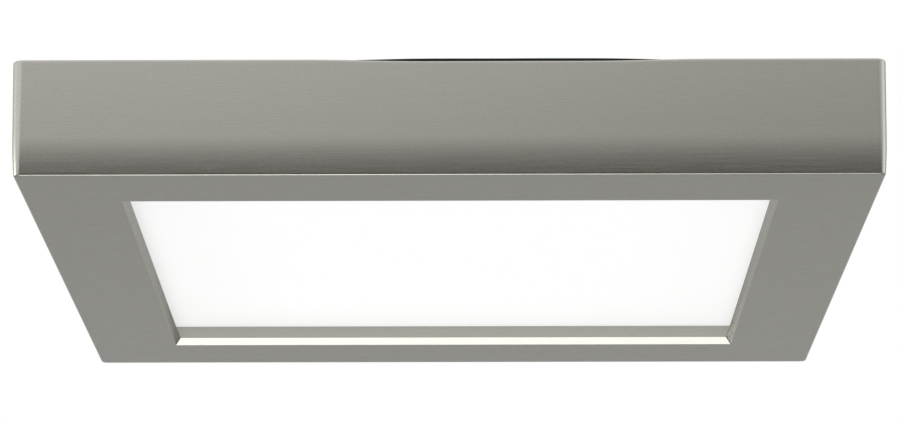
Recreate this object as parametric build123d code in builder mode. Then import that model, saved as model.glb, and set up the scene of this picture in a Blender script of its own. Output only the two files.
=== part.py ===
from build123d import *
from math import asin, atan, cos, degrees, sin
import os

# A square low-profile ceiling light, lit from its edges, as the pieces that it comes apart into.
# Millimetres. The origin is the centre of the mounting bracket on the ceiling plane. +Z goes up into
# the ceiling, +X to the right and +Y away from the viewer, and the light hangs below z = 0.

# ------------------------------------------------------------------ driving dimensions
# Cast housing
housing_side = 178.0
housing_height = 24.3
rim_gap = 0.8               # the gasket keeps the housing's rim this far below the ceiling
wall = 1.5
floor_thickness = 2.0
corner_radius = 2.2
side_lean = 0.3             # how far a side has leaned in where its roll starts
roll_height = 8.0           # the lowest stretch of each side leans in further, on a large arc
roll_radius = 100.0
edge_radius = 0.4
border_width = 20.9         # underside, from the rim's outer face to the window's chamfer
window_chamfer_width = 1.2
window_chamfer_height = 1.6
window_relief = 1.1         # the window widens by this from its chamfer up to the diffuser
recess_depth = 4.65         # from the underside up to the diffuser
boss_radius = 3.5
boss_inset = 6.0            # from the housing's inner face to a boss's centre
boss_web = 1.6              # the web from a boss to the housing's corner
floor_bite = 0.3            # how far the floor reaches into the walls' foot

# Foam gasket round the rim
gasket_width = 3.0
gasket_height = 3.6

# Light engine, from the diffuser up
diffuser_thickness = 1.8
guide_thickness = 3.0
reflector_thickness = 0.3
pad_thickness = 2.2
pad_width = 8.0
pad_inset = 22.0            # from the light guide's edge to a pad's middle line
pad_corner_gap = 4.0        # between the ends of neighbouring pads
guide_lap = 4.0             # the light guide reaches this far behind the window's edge
lamp_gap = 0.4              # between the light guide's edge and the lamps
strip_thickness = 1.0
strip_height = 3.6
lamp_thickness = 0.7
lamp_length = 3.5
lamp_height = 2.8
lamp_pitch = 11.0
lamps_per_strip = 12
rail_thickness = 1.5
rail_foot_width = 5.0
rail_foot_thickness = 1.2
jumper_radius = 0.4
jumper_reach = 4.0          # a jumper lies this far along each of its two strips
jumper_bend = 2.5

# Back plate
plate_thickness = 1.0
plate_corner_radius = 3.0

# Screws and rivets
screw_radius = 1.5
screw_head_radius = 2.8
screw_head_height = 1.8
screw_length = 7.0
screw_recess = 0.7
screw_recess_width = 0.7
ground_screw_radius = 2.0
ground_head_radius = 4.0
ground_head_height = 2.2
rivet_radius = 1.5
rivet_head_radius = 2.8
rivet_head_height = 0.9
rivet_head_round = 0.8

# Mounting bracket
bracket_length = 114.0
bracket_width = 32.0
bracket_thickness = 1.2
bracket_corner_radius = 4.0
cable_hole_radius = 10.0
box_screw_spacing = 79.4    # between the middles of the two slots
box_slot_length = 18.0
box_slot_width = 4.6
tapped_hole_inset = 6.0     # from the bracket's long edge to the earth screw
tapped_hole_x = 19.0
ear_width = 20.0
ear_clearance = 1.6         # from the ear's end down to the back plate
bend_share = 0.8            # the outer radius of the ears' bend, as a share of the sheet's thickness
clip_window_width = 12.0
clip_window_height = 3.2
clip_window_corner = 0.6

# Spring clips
clip_width = 10.0
clip_thickness = 0.5
clip_nose_depth = 0.6       # the nose's middle line inside the ear's outer face
clip_leg_gap = 0.9          # from the ear's outer face to the leg's middle line
clip_nose_rise = 1.9        # half the height of the nose's V
clip_flare_height = 2.2
clip_flare_reach = 2.3
clip_foot_length = 14.0
clip_rivet_inset = 6.0      # from the foot's free end to the rivet
clip_bend_radius = 0.5

# Power supply
driver_length = 96.0
driver_width = 36.0
driver_gap = 8.0            # from the bracket's long edge to the power supply
driver_headroom = 0.6       # between its tallest part and its cover
driver_floor = 1.0
driver_wall = 1.2
driver_corner_radius = 3.0
driver_top_radius = 1.0
driver_lip = 1.6            # the tray's upstand inside the cover
driver_lip_thickness = 1.0
tab_width = 9.0
tab_length = 7.0
tab_corner_radius = 2.2
tab_x = 35.0
board_edge_gap = 2.0        # between the tray's lip and the board
board_thickness = 1.2
board_gap = 1.2
post_radius = 1.8
post_inset = 4.0

# Parts on the board
core_length = 16.0
core_depth = 8.0
core_height = 5.2
core_leg = 1.7
core_window_width = 3.8
winding_reach = 3.0
winding_corner = 1.5
capacitor_radius = 2.8
capacitor_length = 11.0
capacitor_pitch = 8.0
capacitor_groove = 0.25
capacitor_crimp = 1.1       # the groove's width, and its distance from the can's end
film_length = 10.0
film_width = 5.0
film_height = 5.2
choke_radius = 4.0
choke_height = 4.6
choke_waist = 1.2
choke_flange = 1.1
chip_length = 6.0
chip_width = 5.0
chip_height = 1.6
terminal_length = 5.0
terminal_width = 7.0
terminal_height = 3.4
part_edge = 0.3             # the bevel or round along the top edges of the small parts

# Places of the parts on the board, from the board's middle
transformer_x = 2.0
capacitor_x = -23.0
film_x = 34.0
choke_x = 21.0
chip_x = -12.0

# Leads, grommet and bushing
lead_radius = 0.6
lead_spacing = 1.8
lead_bend_radius = 3.0
outlet_gap = 0.3            # round the leads in the cover's outlet
grommet_inset = 10.1        # from a rail's inner face to the grommet
grommet_bore = 2.2
grommet_flange = 1.4
grommet_flange_thickness = 0.6
grommet_hole_radius = 3.5
bushing_x = -20.0
bushing_radius = 3.2
bushing_bore = 2.2
bushing_flange_radius = 4.2
bushing_flange_thickness = 1.5

# Colour switch
switch_width = 10.0
switch_base_height = 3.5
switch_floor = 1.0
switch_wall = 1.8
switch_cover_thickness = 1.2
switch_slot_width = 3.0
selector_travel = 6.0       # each way from the middle position
selector_end_gap = 1.4      # left at each end of the travel
selector_foot_length = 5.6
selector_stem_length = 3.0
selector_thumb = 4.8
selector_thumb_height = 2.0
selector_groove = 0.5
selector_groove_pitch = 1.5
selector_grooves = 3

# Clearances
fit_gap = 0.05              # a screw or rivet in its own hole
slide_gap = 0.3             # between pieces that move past each other, or lie loosely side by side
plate_gap = 1.5             # round the back plate
wire_gap = 0.1              # a wire on what it lies on
plate_hole_gap = 0.2        # a screw in the back plate

# ------------------------------------------------------------------ levels
rim_z = -rim_gap
underside_z = rim_z - housing_height
floor_z = underside_z + floor_thickness
ledge_z = underside_z + recess_depth
guide_z = ledge_z + diffuser_thickness
reflector_z = guide_z + guide_thickness
pads_z = reflector_z + reflector_thickness
plate_z = pads_z + pad_thickness
plate_top_z = plate_z + plate_thickness
lamp_z = guide_z + guide_thickness / 2
strip_top_z = lamp_z + strip_height / 2
driver_floor_z = plate_top_z + driver_floor
board_z = driver_floor_z + board_gap
board_top_z = board_z + board_thickness
tallest_part = max(core_height, 2 * capacitor_radius, film_height, choke_height, terminal_height)
driver_top_z = board_top_z + tallest_part + driver_headroom + driver_wall
lead_top_z = board_top_z + terminal_height / 2
lead_low_z = pads_z + wire_gap + lead_radius
ear_end_z = plate_top_z + ear_clearance
clip_nose_z = (plate_top_z - bracket_thickness) / 2     # midway between the back plate and the bracket

# ------------------------------------------------------------------ plan
housing_half = housing_side / 2
inner_half = housing_half - wall
window_underside_half = housing_half - border_width
window_wall_half = window_underside_half - window_chamfer_width
window_half = window_wall_half + window_relief
guide_half = window_half + guide_lap
strip_face = guide_half + lamp_gap + lamp_thickness
rail_face = strip_face + strip_thickness
rail_back_face = rail_face + rail_thickness
diffuser_half = strip_face - slide_gap
ledge_half = rail_face - slide_gap
boss_half = inner_half - boss_inset
plate_half = inner_half - plate_gap
pad_line = guide_half - pad_inset
pad_length = 2 * (pad_line - pad_width / 2 - pad_corner_gap)
ear_face = bracket_length / 2
driver_y = bracket_width / 2 + driver_gap + driver_width / 2
lip_outer = driver_wall + slide_gap
lip_inner = lip_outer + driver_lip_thickness
board_length = driver_length - 2 * (lip_inner + board_edge_gap)
board_width = driver_width - 2 * (lip_inner + board_edge_gap)
tab_y = (driver_width + tab_length) / 2
tab_points = [(-tab_x, driver_y - tab_y), (tab_x, driver_y + tab_y)]
switch_x = driver_length / 2 + switch_width / 2
switch_length = selector_foot_length + 2 * (selector_travel + selector_end_gap + switch_wall)
clip_leg_x = ear_face + clip_leg_gap
clip_foot_end = clip_leg_x + clip_foot_length
clip_rivet_x = clip_foot_end - clip_rivet_inset
grommet_point = (grommet_inset - rail_face, driver_y)
ground_point = (grommet_inset - rail_face, -driver_y)
diagonal = 2**0.5


def save(builder, name):
    """Name a finished piece and write it out."""
    builder.part.label = name
    export_step(builder.part, f"parts/{name}.step")


def side_plane(quarter_turns):
    """A section plane through the middle of one side: local x points outward and local y up."""
    outward = Vector(0, -1, 0).rotate(Axis.Z, 90 * quarter_turns)
    return Plane(origin=(0, 0, 0), x_dir=outward, z_dir=outward.cross(Vector(0, 0, 1)))


def front_plane(origin):
    """An upright section plane that faces the viewer: local x is +X and local y is +Z."""
    return Plane(origin=origin, x_dir=(1, 0, 0), z_dir=(0, -1, 0))


# The four sides, in quarter turns from the front.
sides = ("front", "right", "back", "left")


def pan_screw(shank_length):
    """A cross-head screw: its head's seat is at z = 0 and its shank points down."""
    with BuildPart() as screw:
        with BuildSketch(Plane.XY):
            Circle(screw_head_radius)
        extrude(amount=screw_head_height)
        fillet(screw.edges().group_by(Axis.Z)[-1], radius=screw_head_height / 2)
        with BuildSketch(Plane.XY):
            Circle(screw_radius)
        extrude(amount=-shank_length)
        with BuildSketch(Plane.XY.offset(screw_head_height)):
            Rectangle(screw_head_radius, screw_recess_width)
            Rectangle(screw_recess_width, screw_head_radius)
        extrude(amount=-screw_recess, mode=Mode.SUBTRACT)
    return screw.part


def ground_screw(shank_length):
    """A slotted hexagon screw for an earth wire, seat at z = 0 and shank pointing down."""
    with BuildPart() as screw:
        with BuildSketch(Plane.XY):
            RegularPolygon(ground_head_radius, 6)
        extrude(amount=ground_head_height)
        with BuildSketch(Plane.XY):
            Circle(ground_screw_radius)
        extrude(amount=-shank_length)
        with BuildSketch(Plane.XY.offset(ground_head_height)):
            Rectangle(2 * ground_head_radius, screw_recess_width)
        extrude(amount=-screw_recess, mode=Mode.SUBTRACT)
    return screw.part


def wire(points, radius, bend_radius):
    """A round wire along straight runs joined by tangent arcs."""
    with BuildLine() as route:
        FilletPolyline(*points, radius=bend_radius)
    path = route.wire()
    with BuildPart() as body:
        with BuildSketch(Plane(origin=path @ 0, z_dir=path % 0)):
            Circle(radius)
        sweep(path=path)
    return body.part


os.makedirs("parts", exist_ok=True)

# ------------------------------------------------------------------ housing
with BuildSketch(Plane.XY.offset(rim_z)) as rim_outline:
    RectangleRounded(housing_side, housing_side, corner_radius)
rim_path = rim_outline.sketch.wire()
rim_tangent = rim_path % 0
# Local x points outward from the outer face, and local y is the depth below the rim.
wall_plane = Plane(origin=rim_path @ 0, x_dir=rim_tangent.cross(Vector(0, 0, 1)), z_dir=rim_tangent)
roll_start = housing_height - roll_height
side_angle = atan(side_lean / roll_start)
foot_angle = asin(sin(side_angle) + roll_height / roll_radius)
foot_inset = side_lean + roll_radius * (cos(side_angle) - cos(foot_angle))
# The inner face is upright behind the gasket, and leans as the outer one does below it.
gasket_seat = gasket_height - rim_gap
inner_lean = side_lean * (housing_height - gasket_seat) / roll_start

with BuildPart() as housing:
    with BuildSketch(wall_plane) as wall_section:
        with BuildLine():
            Polyline(
                (-foot_inset, housing_height),
                (-wall - inner_lean, housing_height),
                (-wall, gasket_seat),
                (-wall, 0),
                (0, 0),
                (-side_lean, roll_start),
            )
            RadiusArc((-side_lean, roll_start), (-foot_inset, housing_height), roll_radius)
        make_face()
        fillet(wall_section.vertices().sort_by_distance((-foot_inset, housing_height))[0], edge_radius)
        fillet(wall_section.vertices().sort_by_distance((0, 0))[0], edge_radius)
    sweep(path=rim_path)
    # The floor, and the ledge round the window that carries the diffuser
    with BuildSketch(Plane.XY.offset(underside_z)):
        floor_side = 2 * (inner_half + floor_bite)
        RectangleRounded(floor_side, floor_side, corner_radius - wall + floor_bite)
    extrude(amount=floor_thickness)
    with BuildSketch(Plane.XY.offset(underside_z)):
        Rectangle(2 * ledge_half, 2 * ledge_half)
    extrude(amount=recess_depth)
    # Corner bosses for the back plate's screws, each with a web to the corner
    with BuildSketch(Plane.XY.offset(floor_z)):
        with GridLocations(2 * boss_half, 2 * boss_half, 2, 2):
            Circle(boss_radius)
        with PolarLocations(diagonal * (boss_half + boss_inset / 2), 4, start_angle=45):
            Rectangle(diagonal * boss_inset, boss_web)
    extrude(amount=plate_z - floor_z)
    with Locations(Plane.XY.offset(plate_z)):
        with GridLocations(2 * boss_half, 2 * boss_half, 2, 2):
            Hole(screw_radius + fit_gap, depth=screw_length)
    # The window: a chamfer that opens to the underside, and above it a wall that leans back to the diffuser
    with BuildSketch(Plane.XY.offset(underside_z)):
        Rectangle(2 * window_underside_half, 2 * window_underside_half)
    chamfer_taper = degrees(atan(window_chamfer_width / window_chamfer_height))
    extrude(amount=window_chamfer_height, taper=chamfer_taper, mode=Mode.SUBTRACT)
    window_wall_height = recess_depth - window_chamfer_height
    with BuildSketch(Plane.XY.offset(underside_z + window_chamfer_height)):
        Rectangle(2 * window_wall_half, 2 * window_wall_half)
    wall_taper = degrees(atan(window_relief / window_wall_height))
    extrude(amount=window_wall_height, taper=-wall_taper, mode=Mode.SUBTRACT)
save(housing, "housing")

# ------------------------------------------------------------------ gasket
with BuildPart() as ceiling_gasket:
    with BuildSketch(Plane.XY):
        RectangleRounded(2 * inner_half, 2 * inner_half, corner_radius - wall)
        gasket_inner = 2 * (inner_half - gasket_width)
        Rectangle(gasket_inner, gasket_inner, mode=Mode.SUBTRACT)
    extrude(amount=-gasket_height)
save(ceiling_gasket, "ceiling_gasket")

# ------------------------------------------------------------------ light engine
with BuildPart() as diffuser:
    with BuildSketch(Plane.XY.offset(ledge_z)):
        Rectangle(2 * diffuser_half, 2 * diffuser_half)
    extrude(amount=diffuser_thickness)
save(diffuser, "diffuser")

with BuildPart() as light_guide:
    with BuildSketch(Plane.XY.offset(guide_z)):
        Rectangle(2 * guide_half, 2 * guide_half)
    extrude(amount=guide_thickness)
save(light_guide, "light_guide")

with BuildPart() as reflector:
    with BuildSketch(Plane.XY.offset(reflector_z)):
        Rectangle(2 * guide_half, 2 * guide_half)
    extrude(amount=reflector_thickness)
save(reflector, "reflector")

with BuildPart() as pressure_pads:
    with BuildSketch(Plane.XY.offset(pads_z)):
        with GridLocations(2 * pad_line, 0, 2, 1):
            Rectangle(pad_width, pad_length)
        with GridLocations(0, 2 * pad_line, 1, 2):
            Rectangle(pad_length, pad_width)
    extrude(amount=pad_thickness)
save(pressure_pads, "pressure_pads")

# Front and back rails run the full width, and the other two fit between them.
for turns, name in enumerate(sides):
    spans_corner = name in ("front", "back")
    rail_half = rail_back_face if spans_corner else rail_face - slide_gap
    with BuildPart() as rail:
        with BuildSketch(side_plane(turns)):
            with BuildLine():
                Polyline(
                    (rail_face, floor_z),
                    (rail_back_face + rail_foot_width, floor_z),
                    (rail_back_face + rail_foot_width, floor_z + rail_foot_thickness),
                    (rail_back_face, floor_z + rail_foot_thickness),
                    (rail_back_face, plate_z),
                    (rail_face, plate_z),
                    close=True,
                )
            make_face()
        extrude(amount=rail_half, both=True)
    save(rail, f"rail_{name}")

    with BuildPart() as strip:
        with BuildSketch(side_plane(turns)):
            with Locations((strip_face + strip_thickness / 2, lamp_z)):
                Rectangle(strip_thickness, strip_height)
        extrude(amount=strip_face - slide_gap, both=True)
    save(strip, f"led_strip_{name}")

with BuildPart() as led_packages:
    for turns in range(len(sides)):
        for index in range(lamps_per_strip):
            along = (index - (lamps_per_strip - 1) / 2) * lamp_pitch
            with BuildSketch(side_plane(turns).offset(along - lamp_length / 2)):
                with Locations((strip_face - lamp_thickness / 2, lamp_z)):
                    Rectangle(lamp_thickness, lamp_height)
            extrude(amount=lamp_length)
save(led_packages, "led_packages")

# Wires over three corners; the strips at the fourth corner stay apart.
jumper_z = strip_top_z + wire_gap + jumper_radius
jumper_line = strip_face + strip_thickness / 2
jumper_start = jumper_line - jumper_bend - jumper_reach
jumpers = [
    wire(
        [
            (jumper_start * x, jumper_line * y, jumper_z),
            (jumper_line * x, jumper_line * y, jumper_z),
            (jumper_line * x, jumper_start * y, jumper_z),
        ],
        jumper_radius,
        jumper_bend,
    )
    for x, y in ((1, -1), (1, 1), (-1, -1))
]
with BuildPart() as strip_jumpers:
    add(jumpers)
save(strip_jumpers, "strip_jumpers")

# ------------------------------------------------------------------ back plate
with BuildPart() as back_plate:
    with BuildSketch(Plane.XY.offset(plate_z)):
        RectangleRounded(2 * plate_half, 2 * plate_half, plate_corner_radius)
        with GridLocations(2 * boss_half, 2 * boss_half, 2, 2):
            Circle(screw_radius + plate_hole_gap, mode=Mode.SUBTRACT)
        with GridLocations(2 * clip_rivet_x, 0, 2, 1):
            Circle(rivet_radius + fit_gap, mode=Mode.SUBTRACT)
        with Locations(*tab_points):
            Circle(screw_radius + fit_gap, mode=Mode.SUBTRACT)
        with Locations(grommet_point):
            Circle(grommet_hole_radius + fit_gap, mode=Mode.SUBTRACT)
        with Locations(ground_point):
            Circle(ground_screw_radius + fit_gap, mode=Mode.SUBTRACT)
    extrude(amount=plate_thickness)
save(back_plate, "back_plate")

plate_screw = pan_screw(screw_length - slide_gap + plate_thickness)
with BuildPart() as back_plate_screws:
    with Locations(Plane.XY.offset(plate_top_z)):
        with GridLocations(2 * boss_half, 2 * boss_half, 2, 2):
            add(plate_screw)
save(back_plate_screws, "back_plate_screws")

plate_earth = ground_screw(plate_thickness)
with BuildPart() as plate_ground_screw:
    with Locations((*ground_point, plate_top_z)):
        add(plate_earth)
save(plate_ground_screw, "plate_ground_screw")

# ------------------------------------------------------------------ power supply
with BuildPart() as driver_base:
    with BuildSketch(Plane.XY.offset(plate_top_z)):
        with Locations((0, driver_y)):
            RectangleRounded(driver_length, driver_width, driver_corner_radius)
        # The tabs start inside the tray, so that each joins it across its full width
        with Locations((-tab_x, driver_y - driver_width / 2), (tab_x, driver_y + driver_width / 2)):
            RectangleRounded(tab_width, 2 * tab_length, tab_corner_radius)
        with Locations(*tab_points):
            Circle(screw_radius + fit_gap, mode=Mode.SUBTRACT)
    extrude(amount=driver_floor)
    # A lip inside the cover, and four posts under the board
    with BuildSketch(Plane.XY.offset(driver_floor_z)):
        with Locations((0, driver_y)):
            RectangleRounded(
                driver_length - 2 * lip_outer,
                driver_width - 2 * lip_outer,
                driver_corner_radius - lip_outer,
            )
            Rectangle(driver_length - 2 * lip_inner, driver_width - 2 * lip_inner, mode=Mode.SUBTRACT)
    extrude(amount=driver_lip)
    with BuildSketch(Plane.XY.offset(driver_floor_z)):
        with Locations((0, driver_y)):
            with GridLocations(board_length - 2 * post_inset, board_width - 2 * post_inset, 2, 2):
                Circle(post_radius)
    extrude(amount=board_gap)
save(driver_base, "driver_base")

bushing_z = (driver_floor_z + driver_top_z) / 2
with BuildPart() as driver_cover:
    with BuildSketch(Plane.XY.offset(driver_floor_z)):
        with Locations((0, driver_y)):
            RectangleRounded(driver_length, driver_width, driver_corner_radius)
    extrude(amount=driver_top_z - driver_floor_z)
    fillet(driver_cover.edges().group_by(Axis.Z)[-1], radius=driver_top_radius)
    with BuildSketch(Plane.XY.offset(driver_floor_z)):
        with Locations((0, driver_y)):
            RectangleRounded(
                driver_length - 2 * driver_wall,
                driver_width - 2 * driver_wall,
                driver_corner_radius - driver_wall,
            )
    extrude(amount=driver_top_z - driver_floor_z - driver_wall, mode=Mode.SUBTRACT)
    # The outlet for the two output leads, and the hole for the inlet's bushing
    with BuildSketch(Plane.YZ.offset(-driver_length / 2)):
        with Locations((driver_y, lead_top_z)):
            outlet_height = 2 * (lead_radius + outlet_gap)
            SlotOverall(lead_spacing + outlet_height, outlet_height)
    extrude(amount=driver_wall, mode=Mode.SUBTRACT)
    with BuildSketch(front_plane((bushing_x, driver_y - driver_width / 2, bushing_z))):
        Circle(bushing_radius + fit_gap)
    extrude(amount=-driver_wall, mode=Mode.SUBTRACT)
save(driver_cover, "driver_cover")

with BuildPart() as driver_board:
    with BuildSketch(Plane.XY.offset(board_z)):
        with Locations((0, driver_y)):
            Rectangle(board_length, board_width)
    extrude(amount=board_thickness)
save(driver_board, "driver_board")

board_plane = Plane(origin=(0, driver_y, board_top_z))

# The core is a closed figure of eight on its side, and the winding goes round its middle leg.
core_window_height = core_height - 2 * core_leg
core_window_x = core_length / 2 - core_leg - core_window_width / 2
with BuildPart() as transformer_core:
    with BuildSketch(front_plane((transformer_x, driver_y, board_top_z + core_height / 2))):
        Rectangle(core_length, core_height)
        with GridLocations(2 * core_window_x, 0, 2, 1):
            Rectangle(core_window_width, core_window_height, mode=Mode.SUBTRACT)
    extrude(amount=core_depth / 2, both=True)
save(transformer_core, "transformer_core")

with BuildPart() as transformer_winding:
    with BuildSketch(Plane(origin=(transformer_x, driver_y, board_top_z + core_height / 2))):
        winding_inner = 2 * (core_window_x - core_window_width / 2 + wire_gap)
        winding_outer = 2 * (core_window_x + core_window_width / 2 - wire_gap)
        winding_depth = core_depth + 2 * winding_reach
        RectangleRounded(winding_outer, winding_depth, winding_corner)
        Rectangle(winding_inner, core_depth + 2 * wire_gap, mode=Mode.SUBTRACT)
    extrude(amount=core_window_height / 2 - wire_gap, both=True)
save(transformer_winding, "transformer_winding")

# Two capacitors lie on the board, each with the groove that crimps its can.
groove_end = capacitor_length - capacitor_crimp
groove_start = groove_end - capacitor_crimp
groove_radius = capacitor_radius - capacitor_groove
capacitor_profile = [
    (0, 0),
    (0, capacitor_radius),
    (groove_start, capacitor_radius),
    (groove_start, groove_radius),
    (groove_end, groove_radius),
    (groove_end, capacitor_radius),
    (capacitor_length, capacitor_radius),
    (capacitor_length, 0),
]
with BuildPart() as driver_capacitors:
    for offset in (-capacitor_pitch / 2, capacitor_pitch / 2):
        axis_origin = (capacitor_x - capacitor_length / 2, driver_y + offset, board_top_z + capacitor_radius)
        can_plane = Plane(origin=axis_origin, x_dir=(1, 0, 0), z_dir=(0, 0, 1))
        with BuildSketch(can_plane):
            with BuildLine():
                Polyline(*capacitor_profile, close=True)
            make_face()
        revolve(axis=Axis(axis_origin, (1, 0, 0)))
save(driver_capacitors, "driver_capacitors")

with BuildPart() as driver_film_capacitor:
    with BuildSketch(board_plane):
        with Locations((film_x, 0)):
            Rectangle(film_width, film_length)
    extrude(amount=film_height)
    fillet(driver_film_capacitor.edges().group_by(Axis.Z)[-1], radius=part_edge)
save(driver_film_capacitor, "driver_film_capacitor")

with BuildPart() as driver_choke:
    choke_neck = choke_radius - choke_waist
    with BuildSketch(front_plane((choke_x, driver_y, board_top_z))):
        with BuildLine():
            Polyline(
                (0, 0),
                (choke_radius, 0),
                (choke_radius, choke_flange),
                (choke_neck, choke_flange),
                (choke_neck, choke_height - choke_flange),
                (choke_radius, choke_height - choke_flange),
                (choke_radius, choke_height),
                (0, choke_height),
                close=True,
            )
        make_face()
    revolve(axis=Axis((choke_x, driver_y, 0), (0, 0, 1)))
save(driver_choke, "driver_choke")

with BuildPart() as driver_chips:
    with BuildSketch(board_plane):
        with Locations((chip_x, 0)):
            with GridLocations(0, 2 * chip_width, 1, 2):
                Rectangle(chip_length, chip_width)
    extrude(amount=chip_height)
    chamfer(driver_chips.edges().group_by(Axis.Z)[-1], length=part_edge)
save(driver_chips, "driver_chips")

# The output leads end at the terminal's outer face.
terminal_face = -board_length / 2
with BuildPart() as driver_terminal:
    with BuildSketch(board_plane):
        with Locations((terminal_face + terminal_length / 2, 0)):
            Rectangle(terminal_length, terminal_width)
    extrude(amount=terminal_height)
    chamfer(driver_terminal.edges().group_by(Axis.Z)[-1], length=part_edge)
save(driver_terminal, "driver_terminal")

tab_screw = pan_screw(driver_floor + plate_thickness)
with BuildPart() as driver_screws:
    with Locations(*[(x, y, driver_floor_z) for x, y in tab_points]):
        add(tab_screw)
save(driver_screws, "driver_screws")

with BuildPart() as supply_bushing:
    bushing_plane = front_plane((bushing_x, driver_y - driver_width / 2, bushing_z))
    with BuildSketch(bushing_plane):
        Circle(bushing_flange_radius)
    extrude(amount=bushing_flange_thickness)
    fillet(supply_bushing.edges().group_by(Axis.Y)[0], radius=bushing_flange_thickness / 2)
    with BuildSketch(bushing_plane):
        Circle(bushing_radius)
    extrude(amount=-driver_wall)
    with BuildSketch(bushing_plane.offset(bushing_flange_thickness)):
        Circle(bushing_bore)
    extrude(amount=-(bushing_flange_thickness + driver_wall), mode=Mode.SUBTRACT)
save(supply_bushing, "supply_bushing")

# ------------------------------------------------------------------ output leads
# From the terminal, out of the cover, down through the grommet and under the plate to a strip.
lead_end = wire_gap - rail_face
lead_colours = {"red": -lead_spacing / 2, "black": lead_spacing / 2}
for colour, shift in lead_colours.items():
    grommet_x = grommet_point[0]
    lead_y = grommet_point[1] + shift
    route = [
        (terminal_face, lead_y, lead_top_z),
        (grommet_x, lead_y, lead_top_z),
        (grommet_x, lead_y, lead_low_z),
        (lead_end, lead_y, lead_low_z),
    ]
    with BuildPart() as lead:
        add(wire(route, lead_radius, lead_bend_radius))
    save(lead, f"lead_{colour}")
print("lead bend radius", lead_bend_radius, "lead diameter", 2 * lead_radius)

with BuildPart() as lead_grommet:
    with BuildSketch(front_plane((*grommet_point, 0))):
        flange_radius = grommet_hole_radius + grommet_flange
        with BuildLine():
            Polyline(
                (grommet_bore, plate_z - grommet_flange_thickness),
                (flange_radius, plate_z - grommet_flange_thickness),
                (flange_radius, plate_z),
                (grommet_hole_radius, plate_z),
                (grommet_hole_radius, plate_top_z),
                (flange_radius, plate_top_z),
                (flange_radius, plate_top_z + grommet_flange_thickness),
                (grommet_bore, plate_top_z + grommet_flange_thickness),
                close=True,
            )
        make_face()
    revolve(axis=Axis((*grommet_point, 0), (0, 0, 1)))
save(lead_grommet, "lead_grommet")

# ------------------------------------------------------------------ colour switch
switch_base_top_z = plate_top_z + switch_base_height
switch_top_z = switch_base_top_z + switch_cover_thickness
switch_plane = Plane(origin=(switch_x, driver_y, 0))
with BuildPart() as cct_switch_base:
    with BuildSketch(switch_plane.offset(plate_top_z)):
        Rectangle(switch_width, switch_length)
    extrude(amount=switch_base_height)
    with BuildSketch(switch_plane.offset(plate_top_z + switch_floor)):
        Rectangle(switch_width - 2 * switch_wall, switch_length - 2 * switch_wall)
    extrude(amount=switch_base_height, mode=Mode.SUBTRACT)
save(cct_switch_base, "cct_switch_base")

with BuildPart() as cct_switch_cover:
    with BuildSketch(switch_plane.offset(switch_base_top_z)):
        Rectangle(switch_width, switch_length)
        slot_length = selector_stem_length + 2 * (selector_travel + slide_gap)
        Rectangle(switch_slot_width, slot_length, mode=Mode.SUBTRACT)
    extrude(amount=switch_cover_thickness)
save(cct_switch_cover, "cct_switch_cover")

with BuildPart() as cct_selector:
    with BuildSketch(switch_plane.offset(plate_top_z + switch_floor + slide_gap)):
        Rectangle(switch_width - 2 * (switch_wall + slide_gap), selector_foot_length)
    extrude(amount=switch_base_height - switch_floor - 2 * slide_gap)
    with BuildSketch(switch_plane.offset(switch_base_top_z - slide_gap)):
        Rectangle(switch_slot_width - 2 * slide_gap, selector_stem_length)
    extrude(amount=switch_cover_thickness + 2 * slide_gap)
    with BuildSketch(switch_plane.offset(switch_top_z + slide_gap)):
        Rectangle(selector_thumb, selector_thumb)
    extrude(amount=selector_thumb_height)
    with BuildSketch(switch_plane.offset(switch_top_z + slide_gap + selector_thumb_height)):
        with GridLocations(0, selector_groove_pitch, 1, selector_grooves):
            Rectangle(selector_thumb, selector_groove)
    extrude(amount=-selector_groove, mode=Mode.SUBTRACT)
save(cct_selector, "cct_selector")

# ------------------------------------------------------------------ mounting bracket
with BuildPart() as mounting_bracket:
    with BuildSketch(Plane.XY):
        RectangleRounded(bracket_length, bracket_width, bracket_corner_radius)
        Circle(cable_hole_radius, mode=Mode.SUBTRACT)
        with GridLocations(box_screw_spacing, 0, 2, 1):
            SlotOverall(box_slot_length, box_slot_width, mode=Mode.SUBTRACT)
        with Locations((-tapped_hole_x, bracket_width / 2 - tapped_hole_inset)):
            Circle(ground_screw_radius + fit_gap, mode=Mode.SUBTRACT)
    extrude(amount=-bracket_thickness)
    # Ears folded down at both ends, each with a window for a clip's nose
    with BuildSketch(Plane.XY):
        with GridLocations(bracket_length - bracket_thickness, 0, 2, 1):
            Rectangle(bracket_thickness, ear_width)
    extrude(amount=ear_end_z)
    fold_edges = mounting_bracket.edges().filter_by(Axis.Y).group_by(Axis.Z)[-1].sort_by(Axis.X)
    fillet([fold_edges[0], fold_edges[-1]], radius=bend_share * bracket_thickness)
    with BuildSketch(Plane.YZ):
        with Locations((0, clip_nose_z)):
            RectangleRounded(clip_window_width, clip_window_height, clip_window_corner)
    extrude(amount=ear_face, both=True, mode=Mode.SUBTRACT)
save(mounting_bracket, "mounting_bracket")

bracket_earth = ground_screw(bracket_thickness)
with BuildPart() as bracket_ground_screw:
    seat = (-tapped_hole_x, bracket_width / 2 - tapped_hole_inset, -bracket_thickness)
    with Locations(Plane(origin=seat, z_dir=(0, 0, -1))):
        add(bracket_earth)
save(bracket_ground_screw, "bracket_ground_screw")

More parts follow.
